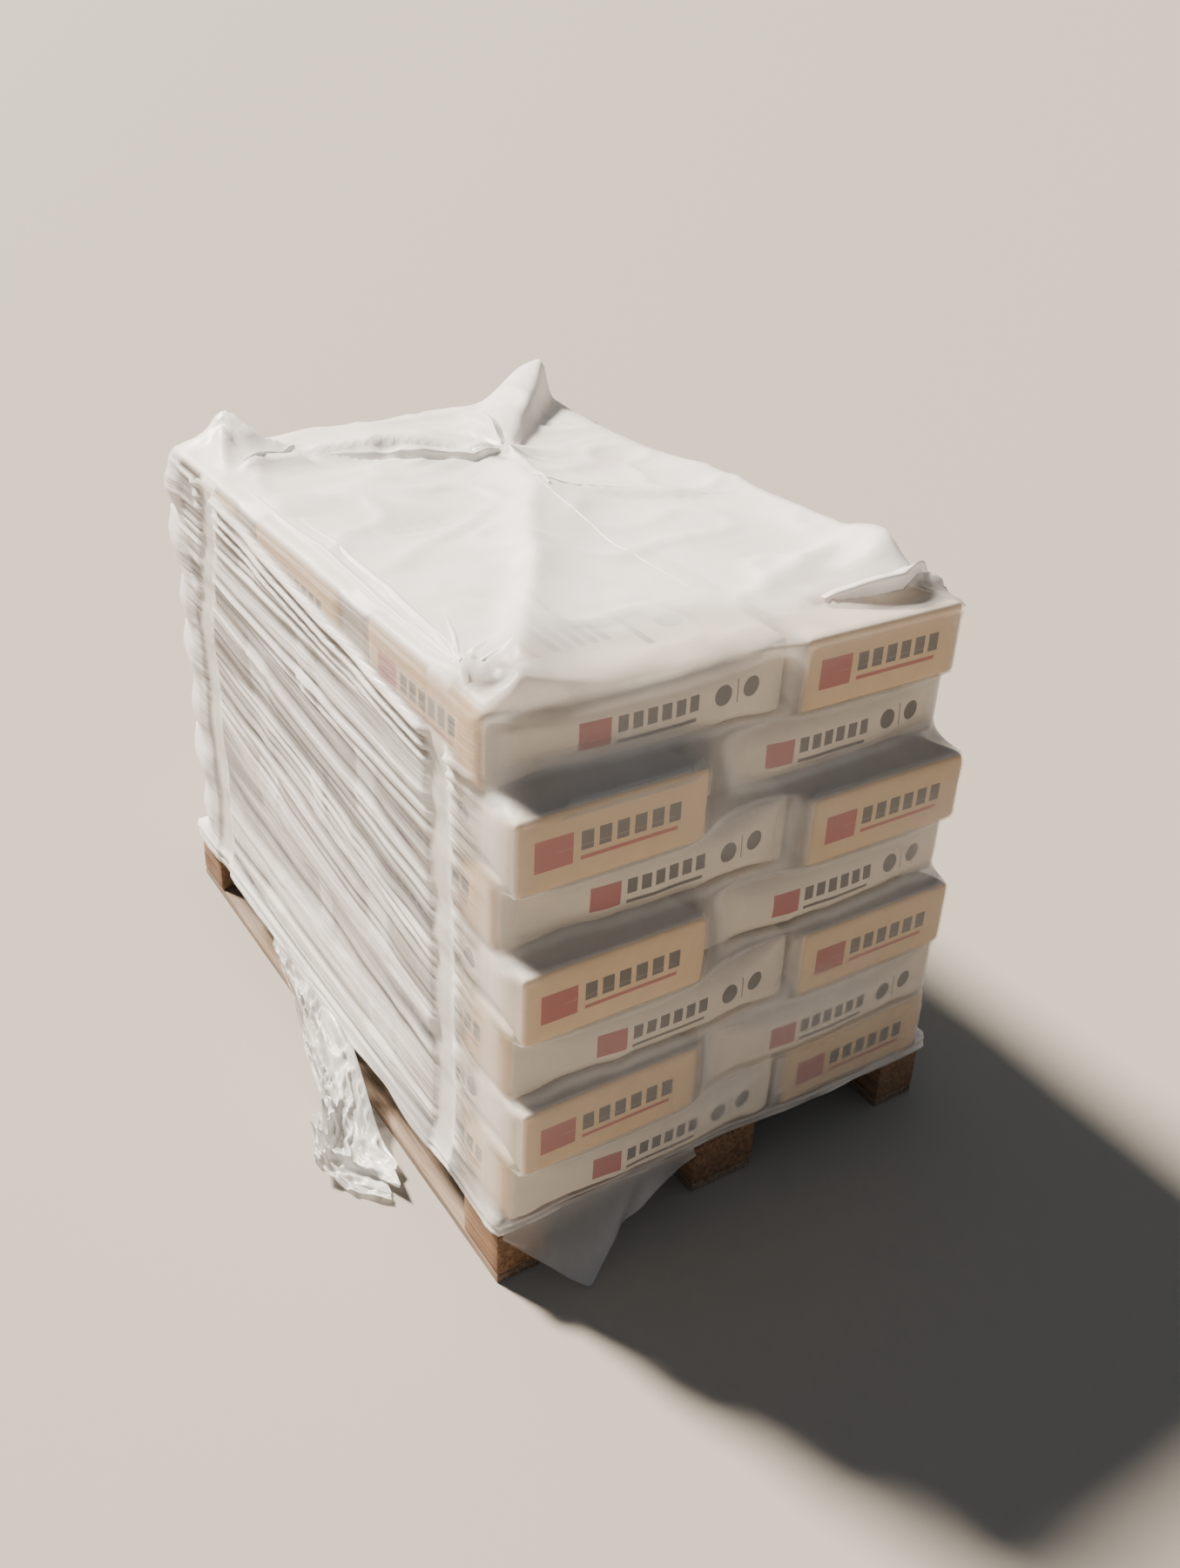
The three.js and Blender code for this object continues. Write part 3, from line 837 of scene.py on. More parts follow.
@dataclass
class HoodOutline:
    """Upright lines round the load that the film's side points slide along.

    A line starts on a rectangle through the four corner centres. Along a side it points straight out, and
    round a corner the lines fan out from the corner centre.
    """

    left: float
    right: float
    front: float
    back: float
    across_cells: int = 66
    along_cells: int = 84
    half_corner_cells: int = 10
    fan_radius: float = 0.08

    def __post_init__(self) -> None:
        """Work out the corner centres, how long the sides and a corner are, and the whole way round."""
        left, right, front, back = self.left, self.right, self.front, self.back
        self.corners = np.array([(left, front), (right, front), (right, back), (left, back)])
        self.lengths = (right - left, back - front) * 2
        self.arc = self.fan_radius * math.pi / 2.0
        self.way_round = sum(length for length, _ in self.sections())

    def sections(self) -> list[tuple[float, int]]:
        """Return each stretch's length and cells, from the middle of the front left corner anticlockwise."""
        half_corner = (self.arc / 2.0, self.half_corner_cells)
        sides = zip(self.lengths, (self.across_cells, self.along_cells) * 2)
        return [section for side in sides for section in (half_corner, side, half_corner)]

    def line_places(self) -> Array:
        """Measure how far along the way round each line stands.

        Returns:
            Places in metres.
        """
        places, start = [], 0.0
        for length, cells in self.sections():
            places.append(start + np.arange(cells) * length / cells)
            start += length
        return np.concatenate(places)

    def lines(self) -> tuple[Array, Array]:
        """Work out each line's foot and outward direction in plan.

        Returns:
            The feet, and the directions.
        """
        place = (self.line_places() + self.arc / 2.0) % self.way_round
        feet, outs = np.zeros((2, len(place), 2))
        start = 0.0
        for side, side_length in enumerate(self.lengths):
            base_angle = math.pi + side * math.pi / 2.0
            on_arc = (place >= start) & (place < start + self.arc)
            angle = base_angle + (place[on_arc] - start) / self.fan_radius
            feet[on_arc] = self.corners[side]
            outs[on_arc] = placed(np.cos(angle), np.sin(angle))
            start += self.arc
            on_side = (place >= start) & (place < start + side_length)
            share = ((place[on_side] - start) / side_length)[:, None]
            feet[on_side] = (1.0 - share) * self.corners[side] + share * self.corners[(side + 1) % 4]
            outs[on_side] = (math.cos(base_angle + math.pi / 2.0), math.sin(base_angle + math.pi / 2.0))
            start += side_length
        return feet, outs

    def locate(self, points: Array) -> tuple[Array, Array]:
        """Find the way-round place and the distance out of each plan point.

        Args:
            points: Plan points.

        Returns:
            Place along the way round, and distance out, which is 0 inside the rectangle.
        """
        low, high = self.corners[0], self.corners[2]
        foot = np.clip(points, low, high)
        reach = points - foot
        starts = np.cumsum([0.0] + [self.arc + length for length in self.lengths[:3]])
        out_x, out_y = np.abs(reach[:, 0]) > 1e-9, np.abs(reach[:, 1]) > 1e-9
        angle = np.arctan2(reach[:, 1], reach[:, 0])
        beyond = (reach[:, 1] < 0.0, reach[:, 0] > 0.0, reach[:, 1] > 0.0, reach[:, 0] < 0.0)
        along = (foot[:, 0] - low[0], foot[:, 1] - low[1], high[0] - foot[:, 0], high[1] - foot[:, 1])
        place = np.zeros(len(points))
        for side in range(4):
            other = out_x if side % 2 == 0 else out_y
            on_side = beyond[side] & ~other
            place[on_side] = starts[side] + self.arc + along[side][on_side]
            on_arc = out_x & out_y & beyond[side] & beyond[(side + 3) % 4]
            turned = (angle[on_arc] - math.pi * (1.0 + side / 2.0)) % (2.0 * math.pi)
            place[on_arc] = starts[side] + turned * self.fan_radius
        return (place - self.arc / 2.0) % self.way_round, np.linalg.norm(reach, axis=-1)


def block_maximum(grid: Array, rows: Array, columns: Array) -> Array:
    """Take the largest value in the block that each kept row and column starts, columns going round.

    Args:
        grid: The full grid.
        rows: The kept rows.
        columns: The kept columns.

    Returns:
        A smaller grid.
    """
    if len(columns) == grid.shape[1]:
        return grid
    half_step = columns[1] // 2
    by_column = np.maximum.reduceat(np.roll(grid, half_step, axis=1), columns, axis=1)
    centred_rows = np.vstack([by_column[:1]] * half_step + [by_column])[: grid.shape[0]]
    return np.maximum.reduceat(centred_rows, rows, axis=0)


def resampled(grid: Array, old: tuple[Array, Array], new: tuple[Array, Array], way_round: int) -> Array:
    """Blend a small grid's values to the rows and columns of a finer one, columns going round.

    Args:
        grid: The small grid.
        old: Its rows and columns, numbered as in the full grid.
        new: The finer grid's rows and columns.
        way_round: How many columns the full grid has.

    Returns:
        The finer grid.
    """
    rows = np.stack([np.interp(new[0], old[0], column) for column in grid.T], axis=1)
    wrapped = np.concatenate([rows, rows[:, :1]], axis=1)
    return np.stack([np.interp(new[1], np.append(old[1], way_round), row) for row in wrapped])


@dataclass
class FilmSettling:
    """How the film comes to rest: it sinks to the mean of its neighbours, but never into what it covers."""

    clearance: float = 2.0 * MM
    top_clearance: float = 3.5 * MM
    upright_pull: float = 2.6
    inward: float = 0.025 * MM
    inward_front: float = 0.11 * MM
    top_inward: float = 0.02 * MM
    top_rounds: int = 900
    # How far apart the grid's lines are kept, and how often the film sinks on that grid
    rounds: tuple[tuple[int, int], ...] = ((8, 500), (4, 400), (2, 300), (1, 160))

    def sides(self, reach: Array, feet: Array, outs: Array) -> Array:
        """Let the sides settle on the load, from a coarse grid to the full one.

        Each point moves to the weighted mean place of its four neighbours, measured along its own line, or
        stays on the load if that lies further out.

        Args:
            reach: How far out the load reaches, rows first.
            feet: Each line's foot.
            outs: Each line's outward direction.

        Returns:
            Distances of the film along its lines.
        """
        film, old, last_row = None, None, reach.shape[0] - 1
        for step, rounds in self.rounds:
            rows = np.unique(np.append(np.arange(0, last_row + 1, step), last_row))
            columns = np.arange(0, reach.shape[1], step)
            floor = block_maximum(reach, rows, columns) + self.clearance
            finer = floor.copy() if film is None else resampled(film, old, (rows, columns), reach.shape[1])
            film = np.maximum(finer, floor)
            old = (rows, columns)
            foot, out = feet[columns], outs[columns]
            front = ramp(-out[:, 1], 0.5, 0.95)
            inward = (self.inward * (1.0 - front) + self.inward_front * front) * step * step
            for _ in range(rounds):
                place = foot + film[..., None] * out
                beside = (np.roll(place, 1, axis=1) + np.roll(place, -1, axis=1)) / 2.0
                around = ((beside - foot) * out).sum(axis=-1)
                above = np.vstack([film[1:], film[-1:]])
                below = np.vstack([film[:1], film[:-1]])
                mean = (around + self.upright_pull * (above + below) / 2.0) / (1.0 + self.upright_pull)
                mean[-1] = around[-1]
                film = np.maximum(floor, mean - inward)
        return film

    def top(self, load: Array, edge_z: float) -> Array:
        """Let the top sink to the mean of its neighbours until it lies on the load, with its edge held.

        Args:
            load: The load's height under each point.
            edge_z: The height of the edge.

        Returns:
            The film's heights.
        """
        floor = load + self.top_clearance
        film = np.maximum(floor, edge_z + 12.0 * MM)
        film[[0, -1]] = edge_z
        film[:, [0, -1]] = edge_z
        for _ in range(self.top_rounds):
            mean = (film[:-2, 1:-1] + film[2:, 1:-1] + film[1:-1, :-2] + film[1:-1, 2:]) / 4.0
            film[1:-1, 1:-1] = np.maximum(floor[1:-1, 1:-1], mean - self.top_inward)
        return film


@dataclass
class TautRidges:
    """Long shallow ridges along the two long sides, where the film was stretched, and smooth bands between."""

    pitch: float = 24.0 * MM
    free_height: float = 13.0 * MM
    held_height: float = 9.0 * MM
    fine_height: float = 2.5 * MM
    rise_to_back: float = 0.125
    tube_front_z: float = 0.79
    tube_slope: float = 0.088
    tube_height: float = 13.0 * MM
    front_band: Pair = (-0.458, -0.408)
    back_band: Pair = (0.42, 0.475)
    back_band_shift: float = 0.09
    outside: Pair = (0.475, 0.5)
    # How far each tube's middle lies below the uppermost one's, and its half width, in millimetres
    tube_sizes: tuple[Pair, ...] = ((0.0, 13.0), (24.0, 10.0), (44.0, 9.0))

    def share(self, points: Array, outs: Array) -> Array:
        """Give 1 on the long sides outside the smooth bands, and 0 in the bands and on the front and back.

        Args:
            points: The film's points, rows first.
            outs: Each line's outward direction.

        Returns:
            Shares, rows first.
        """
        along, up = points[..., 1], points[..., 2]
        back_shift = self.back_band_shift * ramp(up, 0.55, 0.88)
        front = band_share(along, self.front_band, 9.0 * MM)
        back = band_share(along + back_shift, self.back_band, 9.0 * MM)
        return ramp(np.abs(outs[:, 0]), 0.75, 0.99) * (1.0 - front) * (1.0 - back)

    def above_tubes(self, points: Array) -> Array:
        """Return how far each point lies above the middle of the uppermost tube, which falls to the front."""
        return points[..., 2] - (self.tube_front_z + self.tube_slope * (points[..., 1] + 0.57))

    def wedge(self, points: Array) -> Array:
        """Give 1 in the wedge of smooth film between the uppermost tube and the top, and 0 below it."""
        return ramp(self.above_tubes(points), 9.0 * MM, 17.0 * MM) * (1.0 - ramp(points[..., 1], 0.3, 0.4))

    def tubes(self, points: Array) -> Array:
        """Shape the wide smooth tubes: a squared cosine across each, lower for each next one.

        Args:
            points: The film's points.

        Returns:
            Heights.
        """
        above = self.above_tubes(points) + smooth_noise(points[..., 1:2] * 3.0, 77) * 3.0 * MM
        total = np.zeros(above.shape)
        for i, (drop, half) in enumerate(self.tube_sizes):
            reach = np.clip((above + drop * MM) / (half * MM), -1.0, 1.0)
            total = np.maximum(total, np.cos(reach * math.pi / 2.0) ** 2 * (self.tube_height - 2.0 * i * MM))
        return total * (1.0 - ramp(points[..., 1], 0.4, 0.44))

    def heights(self, points: Array, gap: Array, level: Array) -> Array:
        """Work out how far the ridges stand out.

        The ridges are round and the grooves between them sharp: a root of long stretched noise's size, so that
        a groove lies where the noise passes through zero. They vary in spacing, merge and fade, and they run
        along the slanted rows. Outside the smooth bands they are lower, and fine creases lie on them.

        Args:
            points: The film's points, rows first.
            gap: How far the film stands off the load.
            level: Each row's height where the slant begins.

        Returns:
            Heights, rows first.
        """
        along = points[..., 1]
        warp = noise_at(45, along * 1.6, level * 9.0) * 8.0 * MM
        stretched = placed(along, (level + warp) / self.pitch * 1.2)
        wide = np.abs(smooth_noise(stretched, 41)) ** 0.55
        narrow = np.abs(smooth_noise(stretched * np.array([1.5, 1.9]), 43)) ** 0.55
        bold = 0.9 + 0.4 * noise_at(49, along * 1.1, level * 16.0)
        strength = self.held_height + (self.free_height - self.held_height) * ramp(gap, 1.0 * MM, 12.0 * MM)
        waves = wide * (0.55 + 0.45 * narrow) * bold * strength
        taut = np.maximum(waves * (1.0 - 0.8 * self.wedge(points)), self.tubes(points))
        outside = ramp(np.abs(along), *self.outside)
        crumpled = placed(along * 16.0, level * 62.0 + noise_at(59, along * 9.0, level * 9.0) * 1.5)
        fine = creases(crumpled, 47, 2.4) * self.fine_height * (1.0 - ramp(np.abs(along), 0.53, 0.58))
        return taut * (1.0 - 0.5 * outside - 0.2 * ramp(along, *self.outside)) + fine * outside


@dataclass
class TopFold:
    """One standing fold of the top, in millimetres: a tent along a line.

    It has a height for each end of the line and a width for its left and its right, seen from the start.
    """

    start: Pair
    end: Pair
    heights: Pair
    widths: Pair
    roundness: float = 1.25

    def rise(self, plan: Array) -> Array:
        """Work out the tent's height, which falls off as a decaying curve to both sides.

        Args:
            plan: Plan points in metres.

        Returns:
            Heights in metres.
        """
        start, end = np.array([self.start, self.end]) * MM
        run = end - start
        share = np.clip(((plan - start) @ run) / (run @ run), 0.0, 1.0)
        wander = noise_at(71, share * 4.0, 0.0) * 5.0 * MM
        normal = np.array([-run[1], run[0]]) / np.linalg.norm(run)
        nearest = start + share[..., None] * run + wander[..., None] * normal
        width = np.where((plan - nearest) @ normal > 0.0, *self.widths) * MM
        distance = np.linalg.norm(plan - nearest, axis=-1)
        height = (self.heights[0] + (self.heights[1] - self.heights[0]) * share) * MM
        return height * np.exp(-((distance / width) ** self.roundness))


@dataclass
class FoldStrip:
    """A narrow standing fold, in millimetres: an arch carried along a path over the settled top."""

    path: list[Triple]
    half_width: float
    lean: float = 0.0
    cover: float = 0.9
    steps_between: int = 12
    points_across: int = 11
    bed_reach: float = 9.0
    foot_under: float = 1.5

    def surface(self, film: Array) -> Surface:
        """Work out the strip.

        The path's third number is the fold's height. Across the strip, the height follows an arch with a
        sharp crest, the foot lies just under the film, and the crest leans to the left by the lean. The film's
        height under it is the mean of its points, weighted by a bell curve of their distance.

        Args:
            film: Points of the settled top.

        Returns:
            The open surface.
        """
        stations = np.arange(len(self.path))
        place = np.linspace(0.0, stations[-1], self.steps_between * stations[-1] + 1)
        x, y, height = (np.interp(place, stations, column) for column in np.array(self.path).T * MM)
        middle = placed(x, y)
        run = np.gradient(middle, axis=0)
        run /= np.linalg.norm(run, axis=-1, keepdims=True)
        normal = placed(-run[:, 1], run[:, 0])
        side = np.linspace(-1.0, 1.0, self.points_across)
        ends = np.sin(np.clip(place / place[-1], 0.02, 0.98) * math.pi) ** 0.4
        ripple = 1.0 + 0.18 * noise_at(97, place * 1.7, 0.0)
        tall = (height * ripple)[:, None] * (1.0 - np.abs(side) ** 0.8)
        across = self.half_width * MM * side * ends[:, None] + self.lean * tall
        plan = middle[:, None, :] + across[..., None] * normal[:, None, :]
        apart = np.linalg.norm(plan[:, :, None, :] - film[None, None, :, :2], axis=-1)
        weight = bell(apart / (self.bed_reach * MM)) + 1e-12
        bed = (weight * film[:, 2]).sum(axis=-1) / weight.sum(axis=-1)
        return top_surface(plan, bed - self.foot_under * MM + tall, self.cover, 0.0)


def top_surface(plan: Array, heights: Array, cover: Array | float, shade: Array | float) -> Surface:
    """Make an open film surface over the load, with its map and without streaks.

    Args:
        plan: Its plan points.
        heights: Their heights.
        cover: How much the film hides there.
        shade: How much painted shade darkens it there.

    Returns:
        The surface, with the attributes of the film's finish.
    """
    cover, ridged, shade = (np.broadcast_to(value, heights.shape) for value in (cover, 0.0, shade))
    film_run = placed(plan[..., 1], plan[..., 0], 3.0)
    values = {"cover": cover, "film_run": film_run, "ridged": ridged, "shade": shade}
    return Surface(placed(plan[..., 0], plan[..., 1], heights), False, False, values)


def pleat(
    start: Array, end: Array, bow: Array, heights: Triple, half_width: float, lean: float = 0.0
) -> FoldStrip:
    """Make a strip with a bent path, in millimetres.

    Args:
        start: The path's start in plan.
        end: Its end.
        bow: How far its middle lies from halfway between them.
        heights: The fold's heights at the three.
        half_width: The strip's half width.
        lean: How far the crest leans.

    Returns:
        The strip.
    """
    plan = np.array([start, (np.array(start) + end) / 2.0 + bow, end])
    return FoldStrip(np.column_stack([plan, heights]).tolist(), half_width, lean)


@dataclass
class TopFolds:
    """The folds that gather at the pinch in the top and run from it to the corners, in millimetres."""

    pinch: Pair = (75.0, 240.0)
    gather_height: float = 12.0
    gather_reach: float = 200.0
    knot: Pair = (-375.0, -460.0)
    knot_radius: float = 50.0
    knot_rise: float = 6.0
    pucker_height: float = 17.0
    bowl: Pair = (-240.0, 470.0)
    bowl_radius: float = 55.0
    bowl_depth: float = 22.0
    # Each small opening's middle, half sizes and share of painted shade
    openings: tuple[tuple[Pair, Pair, float], ...] = (
        ((-360.0, -495.0), (25.0, 20.0), 1.0),
        ((280.0, -525.0), (80.0, 20.0), 1.0),
        ((-260.0, 440.0), (40.0, 40.0), 0.4),
        ((55.0, 200.0), (12.0, 30.0), 0.5),
        ((-310.0, -560.0), (50.0, 14.0), 0.8),
        ((-330.0, -485.0), (22.0, 30.0), 0.5),
        ((-60.0, 255.0), (30.0, 15.0), 0.5),
    )

    def folds(self) -> list[TopFold]:
        """List the folds: the ridge to the front, the standing corner behind, and the rolls to the left.

        Returns:
            The folds.
        """
        return [
            TopFold((75, 240), (17, 48), (22, 30), (30, 40)),
            TopFold((17, 48), (-130, -200), (30, 30), (60, 34)),
            TopFold((-130, -200), (-340, -530), (32, 30), (60, 22)),
            TopFold((100, 270), (325, 545), (14, 72), (78, 18), 3.0),
            TopFold((35, 240), (-110, 350), (22, 34), (14, 70), 1.6),
            TopFold((-110, 350), (-250, 420), (34, 16), (16, 60), 1.6),
            TopFold((-210, 470), (-240, 370), (16, 24), (14, 24)),
            TopFold((-240, 370), (-330, 360), (24, 20), (20, 14)),
            TopFold((20, 50), (220, -60), (16, 8), (50, 10)),
            TopFold((365, -300), (345, 140), (42, 10), (50, 50)),
            TopFold((-310, 530), (-220, 430), (62, 26), (16, 30)),
            TopFold((-310, 530), (-360, 360), (40, 6), (20, 20)),
            TopFold((365, -300), (360, -395), (42, 66), (20, 54)),
            TopFold((360, -330), (140, -400), (26, 10), (30, 26)),
            TopFold((200, -490), (340, -520), (14, 30), (46, 10)),
            TopFold((-50, 0), (-320, 200), (8, 8), (30, 12)),
            TopFold((-20, 50), (-300, -120), (10, 6), (12, 30)),
        ]

    def strips(self) -> list[FoldStrip]:
        """List the narrow folds: two straight weld lines, the pinch's gathers, and the front left knot's.

        Returns:
            The strips.
        """
        rolled = [(60, 228, 3), (10, 228, 11), (-30, 264, 16), (-80, 305, 14), (-125, 333, 8), (-180, 370, 2)]
        strips = [
            FoldStrip([(20, 50, 3), (170, -25, 2.5), (320, -98, 2)], 3.5),
            FoldStrip([(20, 45, 3), (23, -160, 2.5), (23, -365, 2)], 3.5),
            FoldStrip([(70, 220, 8), (50, 130, 10), (30, 20, 5)], 11.0, 0.6),
            FoldStrip([(75, 240, 8), (110, 340, 16), (130, 480, 12)], 14.0, 0.5),
            FoldStrip(rolled, 16.0, 0.55),
            FoldStrip([(-210, 450, 2), (-260, 385, 13), (-335, 365, 5)], 13.0, 0.5),
            FoldStrip([(170, -475, 6), (280, -492, 26), (365, -465, 16)], 22.0, -0.9),
        ]
        for end in ((-365, -160), (-340, -220), (-305, -270)):
            strips.append(pleat((-370, -440), end, (4, 0), (4, 4, 1.5), 8.0))
        for start, end, height in (((-370, -420), (-365, 300), 7), ((-352, -400), (-338, 120), 5)):
            strips.append(pleat(start, end, (6, 0), (4, height, 2), 11.0, 0.3))
        for degrees, far, lean in ((18, 85, -0.3), (45, 100, 0.3), (70, 85, -0.3)):
            way = np.array([math.cos(math.radians(degrees)), math.sin(math.radians(degrees))])
            near, bow = self.knot + way * 30.0, np.array([-way[1], way[0]]) * 6.0
            strips.append(pleat(near, self.knot + way * far, bow, (4, 5, 2), 10.0, lean))
        for degrees, far, lean in ((100, 60, -0.4), (320, 85, 0.4)):
            way = np.array([math.cos(math.radians(degrees)), math.sin(math.radians(degrees))])
            strips.append(pleat(self.pinch + way * 4.0, self.pinch + way * far, (0, 0), (4, 6, 2), 7.0, lean))
        return strips

    def pockets(self, plan: Array) -> Array:
        """Find the small openings, where shade is painted dark and the folds sink, by a bell curve round each one.

        Args:
            plan: Plan points in metres.

        Returns:
            Shares near 1 in the openings, and 0 elsewhere.
        """
        total = np.zeros(plan.shape[:-1])
        for middle, size, share in self.openings:
            reach = np.linalg.norm((plan / MM - middle) / size, axis=-1)
            total = np.maximum(total, share * bell(reach))
        return total

    def heights(self, plan: Array) -> Array:
        """Take the highest of the folds, and add radial gathers at the pinch and the puckers of the knot.

        Behind the rolls on the left, a bowl sinks in.

        Args:
            plan: Plan points of the top.

        Returns:
            How far the film stands above where it settled.
        """
        pinch, knot, bowl = (plan / MM - middle for middle in (self.pinch, self.knot, self.bowl))
        radius = np.linalg.norm(pinch, axis=-1)
        angle = np.arctan2(pinch[..., 1], pinch[..., 0])
        gathers = creases(placed(np.cos(angle), np.sin(angle)) * 2.6, 51, 3) * self.gather_height
        gathers = gathers * np.exp(-radius / self.gather_reach) * ramp(radius, 0.0, 30.0)
        folded = np.maximum.reduce([fold.rise(plan) for fold in self.folds()]) / MM
        sunk = self.bowl_depth * bell(np.linalg.norm(bowl / (1.0, 1.2), axis=-1) / self.bowl_radius)
        puckers = self.knot_rise + self.pucker_height * creases(plan * 52.0, 67, 2)
        puckers = puckers * bell(np.linalg.norm(knot, axis=-1) / self.knot_radius)
        raised = np.maximum(folded + gathers - sunk, -8.0) + puckers
        return raised * MM * (1.0 - 0.7 * self.pockets(plan))

    def ripples(self, plan: Array) -> Array:
        """Return the low swell and the fine crinkles between the folds, from noise."""
        return ((1.0 + smooth_noise(plan * 6.0, 63)) * 6.0 + creases(plan * 11.0, 61, 4) * 7.0) * MM


@dataclass
class CornerFlap:
    """The thin loose flap of the hood that hangs from the hem at the front left corner of the pallet."""

    rows: int = 26
    columns: int = 44
    hem_left: float = -0.398
    hem_y: float = -0.6075
    hem_z: float = 0.118
    width: float = 0.33
    # Painted shade, even over the whole flap, which hangs in the shadow under the hem
    shade: float = 0.25

    def surface(self) -> Surface:
        """Work out the flap: its upper edge follows the hem, its lower edge runs to a tip near the floor.

        Ripples grow from nothing at the hem to the lower edge.

        Returns:
            The open surface.
        """
        s = np.linspace(0.0, 1.0, self.columns)[None, :]
        t = np.linspace(0.0, 1.0, self.rows)[:, None]
        drop = np.interp(s, [0.0, 0.15, 0.28, 0.36, 0.5, 0.75, 1.0], [0.02, 0.06, 0.095, 0.109, 0.08, 0.04, 0.01])
        reach = np.interp(s, [0.0, 0.2, 0.36, 0.6, 1.0], [0.0, 0.03, 0.062, 0.02, 0.0])
        ripple = np.abs(noise_at(99, s * 6.0 + t * 0.8, t * 1.4)) * t
        x = self.hem_left + self.width * s - 0.012 * np.sin(s * math.pi) * t
        y = self.hem_y - 3.0 * MM * np.sin(t * math.pi / 2.0) - 9.0 * MM * ripple - reach * t**1.6
        z = self.hem_z - 0.012 * s - drop * t**0.9
        cover = np.clip(0.32 + 0.3 * ripple + 0.25 * (1.0 - t) ** 4, 0.0, 0.9)
        ridged, shade = np.zeros_like(x), np.full_like(x, self.shade)
        values = {"cover": cover, "film_run": placed(x, z, 5.0), "ridged": ridged, "shade": shade}
        return Surface(placed(x, y, z), False, False, values)


@dataclass
class StretchHood:
    """The film bag over the load: its sides, its top and the loose folds on them."""

    load: SackLoad
    outline: HoodOutline
    settling: FilmSettling = field(default_factory=FilmSettling)
    ridges: TautRidges = field(default_factory=TautRidges)
    folds: TopFolds = field(default_factory=TopFolds)
    hem_z: float = 100.0 * MM
    shoulder_z: float = 884.0 * MM
    rows: int = 223
    plan_low: Pair = (-0.45, -0.68)
    plan_cells: tuple[int, int] = (180, 272)
    plan_cell: float = 5.0 * MM
    pallet_half: Pair = (0.4, 0.6)
    pallet_top: float = 126.0 * MM
    layer_height: float = 109.0 * MM
    # How much the film hides on the sides and back, and on the front
    clinging_cover: Pair = (0.8, 0.19)
    standing_cover: Pair = (0.88, 0.62)
    # How much less the wedge and the strip beside the front band hide, and more what lies behind the back band
    wedge_clearer: float = 0.36
    beside_clearer: float = 0.5
    behind_hazier: float = 0.14
    ledge_shade: float = 0.58
    lip_across: Pair = (-0.35, -0.3)
    lip_up: Pair = (0.864, 0.876)
    lip_shade: float = 0.6

    def __post_init__(self) -> None:
        """Work out the rows' heights, the lines, and which of them lie on the front, the left and the back."""
        self.levels = np.linspace(self.hem_z, self.shoulder_z, self.rows)[:, None]
        self.row_height = self.levels[1, 0] - self.levels[0, 0]
        self.places = self.outline.line_places()
        self.feet, self.outs = self.outline.lines()
        self.front = ramp(-self.outs[:, 1], 0.6, 0.95)
        self.left = ramp(-self.outs[:, 0], 0.6, 0.95)
        self.back = ramp(self.outs[:, 1], 0.6, 0.95)

    def pallet_points(self) -> Array:
        """Spread points all over the upper edges of the pallet, which the hem clings to.

        Returns:
            The points.
        """
        steps = np.linspace(0.0, 1.0, 500)[:, None]
        corners = np.array([(-1.0, -1.0), (1.0, -1.0), (1.0, 1.0), (-1.0, 1.0)]) * self.pallet_half
        ring = np.concatenate([corners[i] * (1.0 - steps) + corners[(i + 1) % 4] * steps for i in range(4)])
        levels = np.arange(self.hem_z - 2.0 * MM, self.pallet_top, 3.0 * MM)
        return np.column_stack([np.tile(ring, (len(levels), 1)), np.repeat(levels, len(ring))])

    def slanted_levels(self) -> Array:
        """Return each point's height once the rows rise towards the back, as the ridges do, except at the edges."""
        along = self.feet[:, 1] + 0.1 * self.outs[:, 1] + 0.58
        share = ramp(self.levels, 0.12, 0.35) * (1.0 - ramp(self.levels, 0.42, self.shoulder_z))
        return self.levels + self.ridges.rise_to_back * along * share

    def slid(self, values: Array, heights: Array) -> Array:
        """Read level rows of values at slanted heights, in proportion between the rows above and below.

        Args:
            values: One number for each row and line, at level heights.
            heights: The slanted heights.

        Returns:
            The values there.
        """
        place = np.clip((heights - self.hem_z) / self.row_height, 0.0, self.rows - 1.001)
        below = place.astype(int)
        share = place - below
        lower, upper = (np.take_along_axis(values, below + step, axis=0) for step in (0, 1))
        return lower * (1.0 - share) + upper * share

    def reach_of_load(self, points: Array) -> Array:
        """Find how far out the load reaches at each row and line: the largest distance among nearby points.

        Args:
            points: Points all over what the film covers.

        Returns:
            Distances, rows first. Where nothing lies near, the distance is 0.
        """
        near = (points[:, 2] > self.hem_z - 4.0 * MM) & (points[:, 2] < self.shoulder_z + 4.0 * MM)
        points = points[near]
        place, distance = self.outline.locate(points[:, :2])
        edges = (self.places + np.append(self.places[1:], self.outline.way_round)) / 2.0
        column = np.searchsorted(edges, place) % len(edges)
        row = np.clip(np.rint((points[:, 2] - self.hem_z) / self.row_height).astype(int), 0, self.rows - 1)
        reach = np.zeros((self.rows, len(edges)))
        np.maximum.at(reach, (row, column), distance)
        return reach

    def back_bulges(self, points: Array) -> Array:
        """Swell the film out over each layer behind the back band, by a squared sine per layer.

        Args:
            points: The film's points.

        Returns:
            How far it stands out.
        """
        along, up = points[..., 1], points[..., 2]
        layer = np.sin(math.pi * (up - self.pallet_top) / self.layer_height)
        swell = (8.0 + 8.0 * ramp(up, 0.77, 0.8)) * MM * layer**2
        return swell * ramp(along, 0.47, 0.53) * ramp(up, 0.13, 0.16)

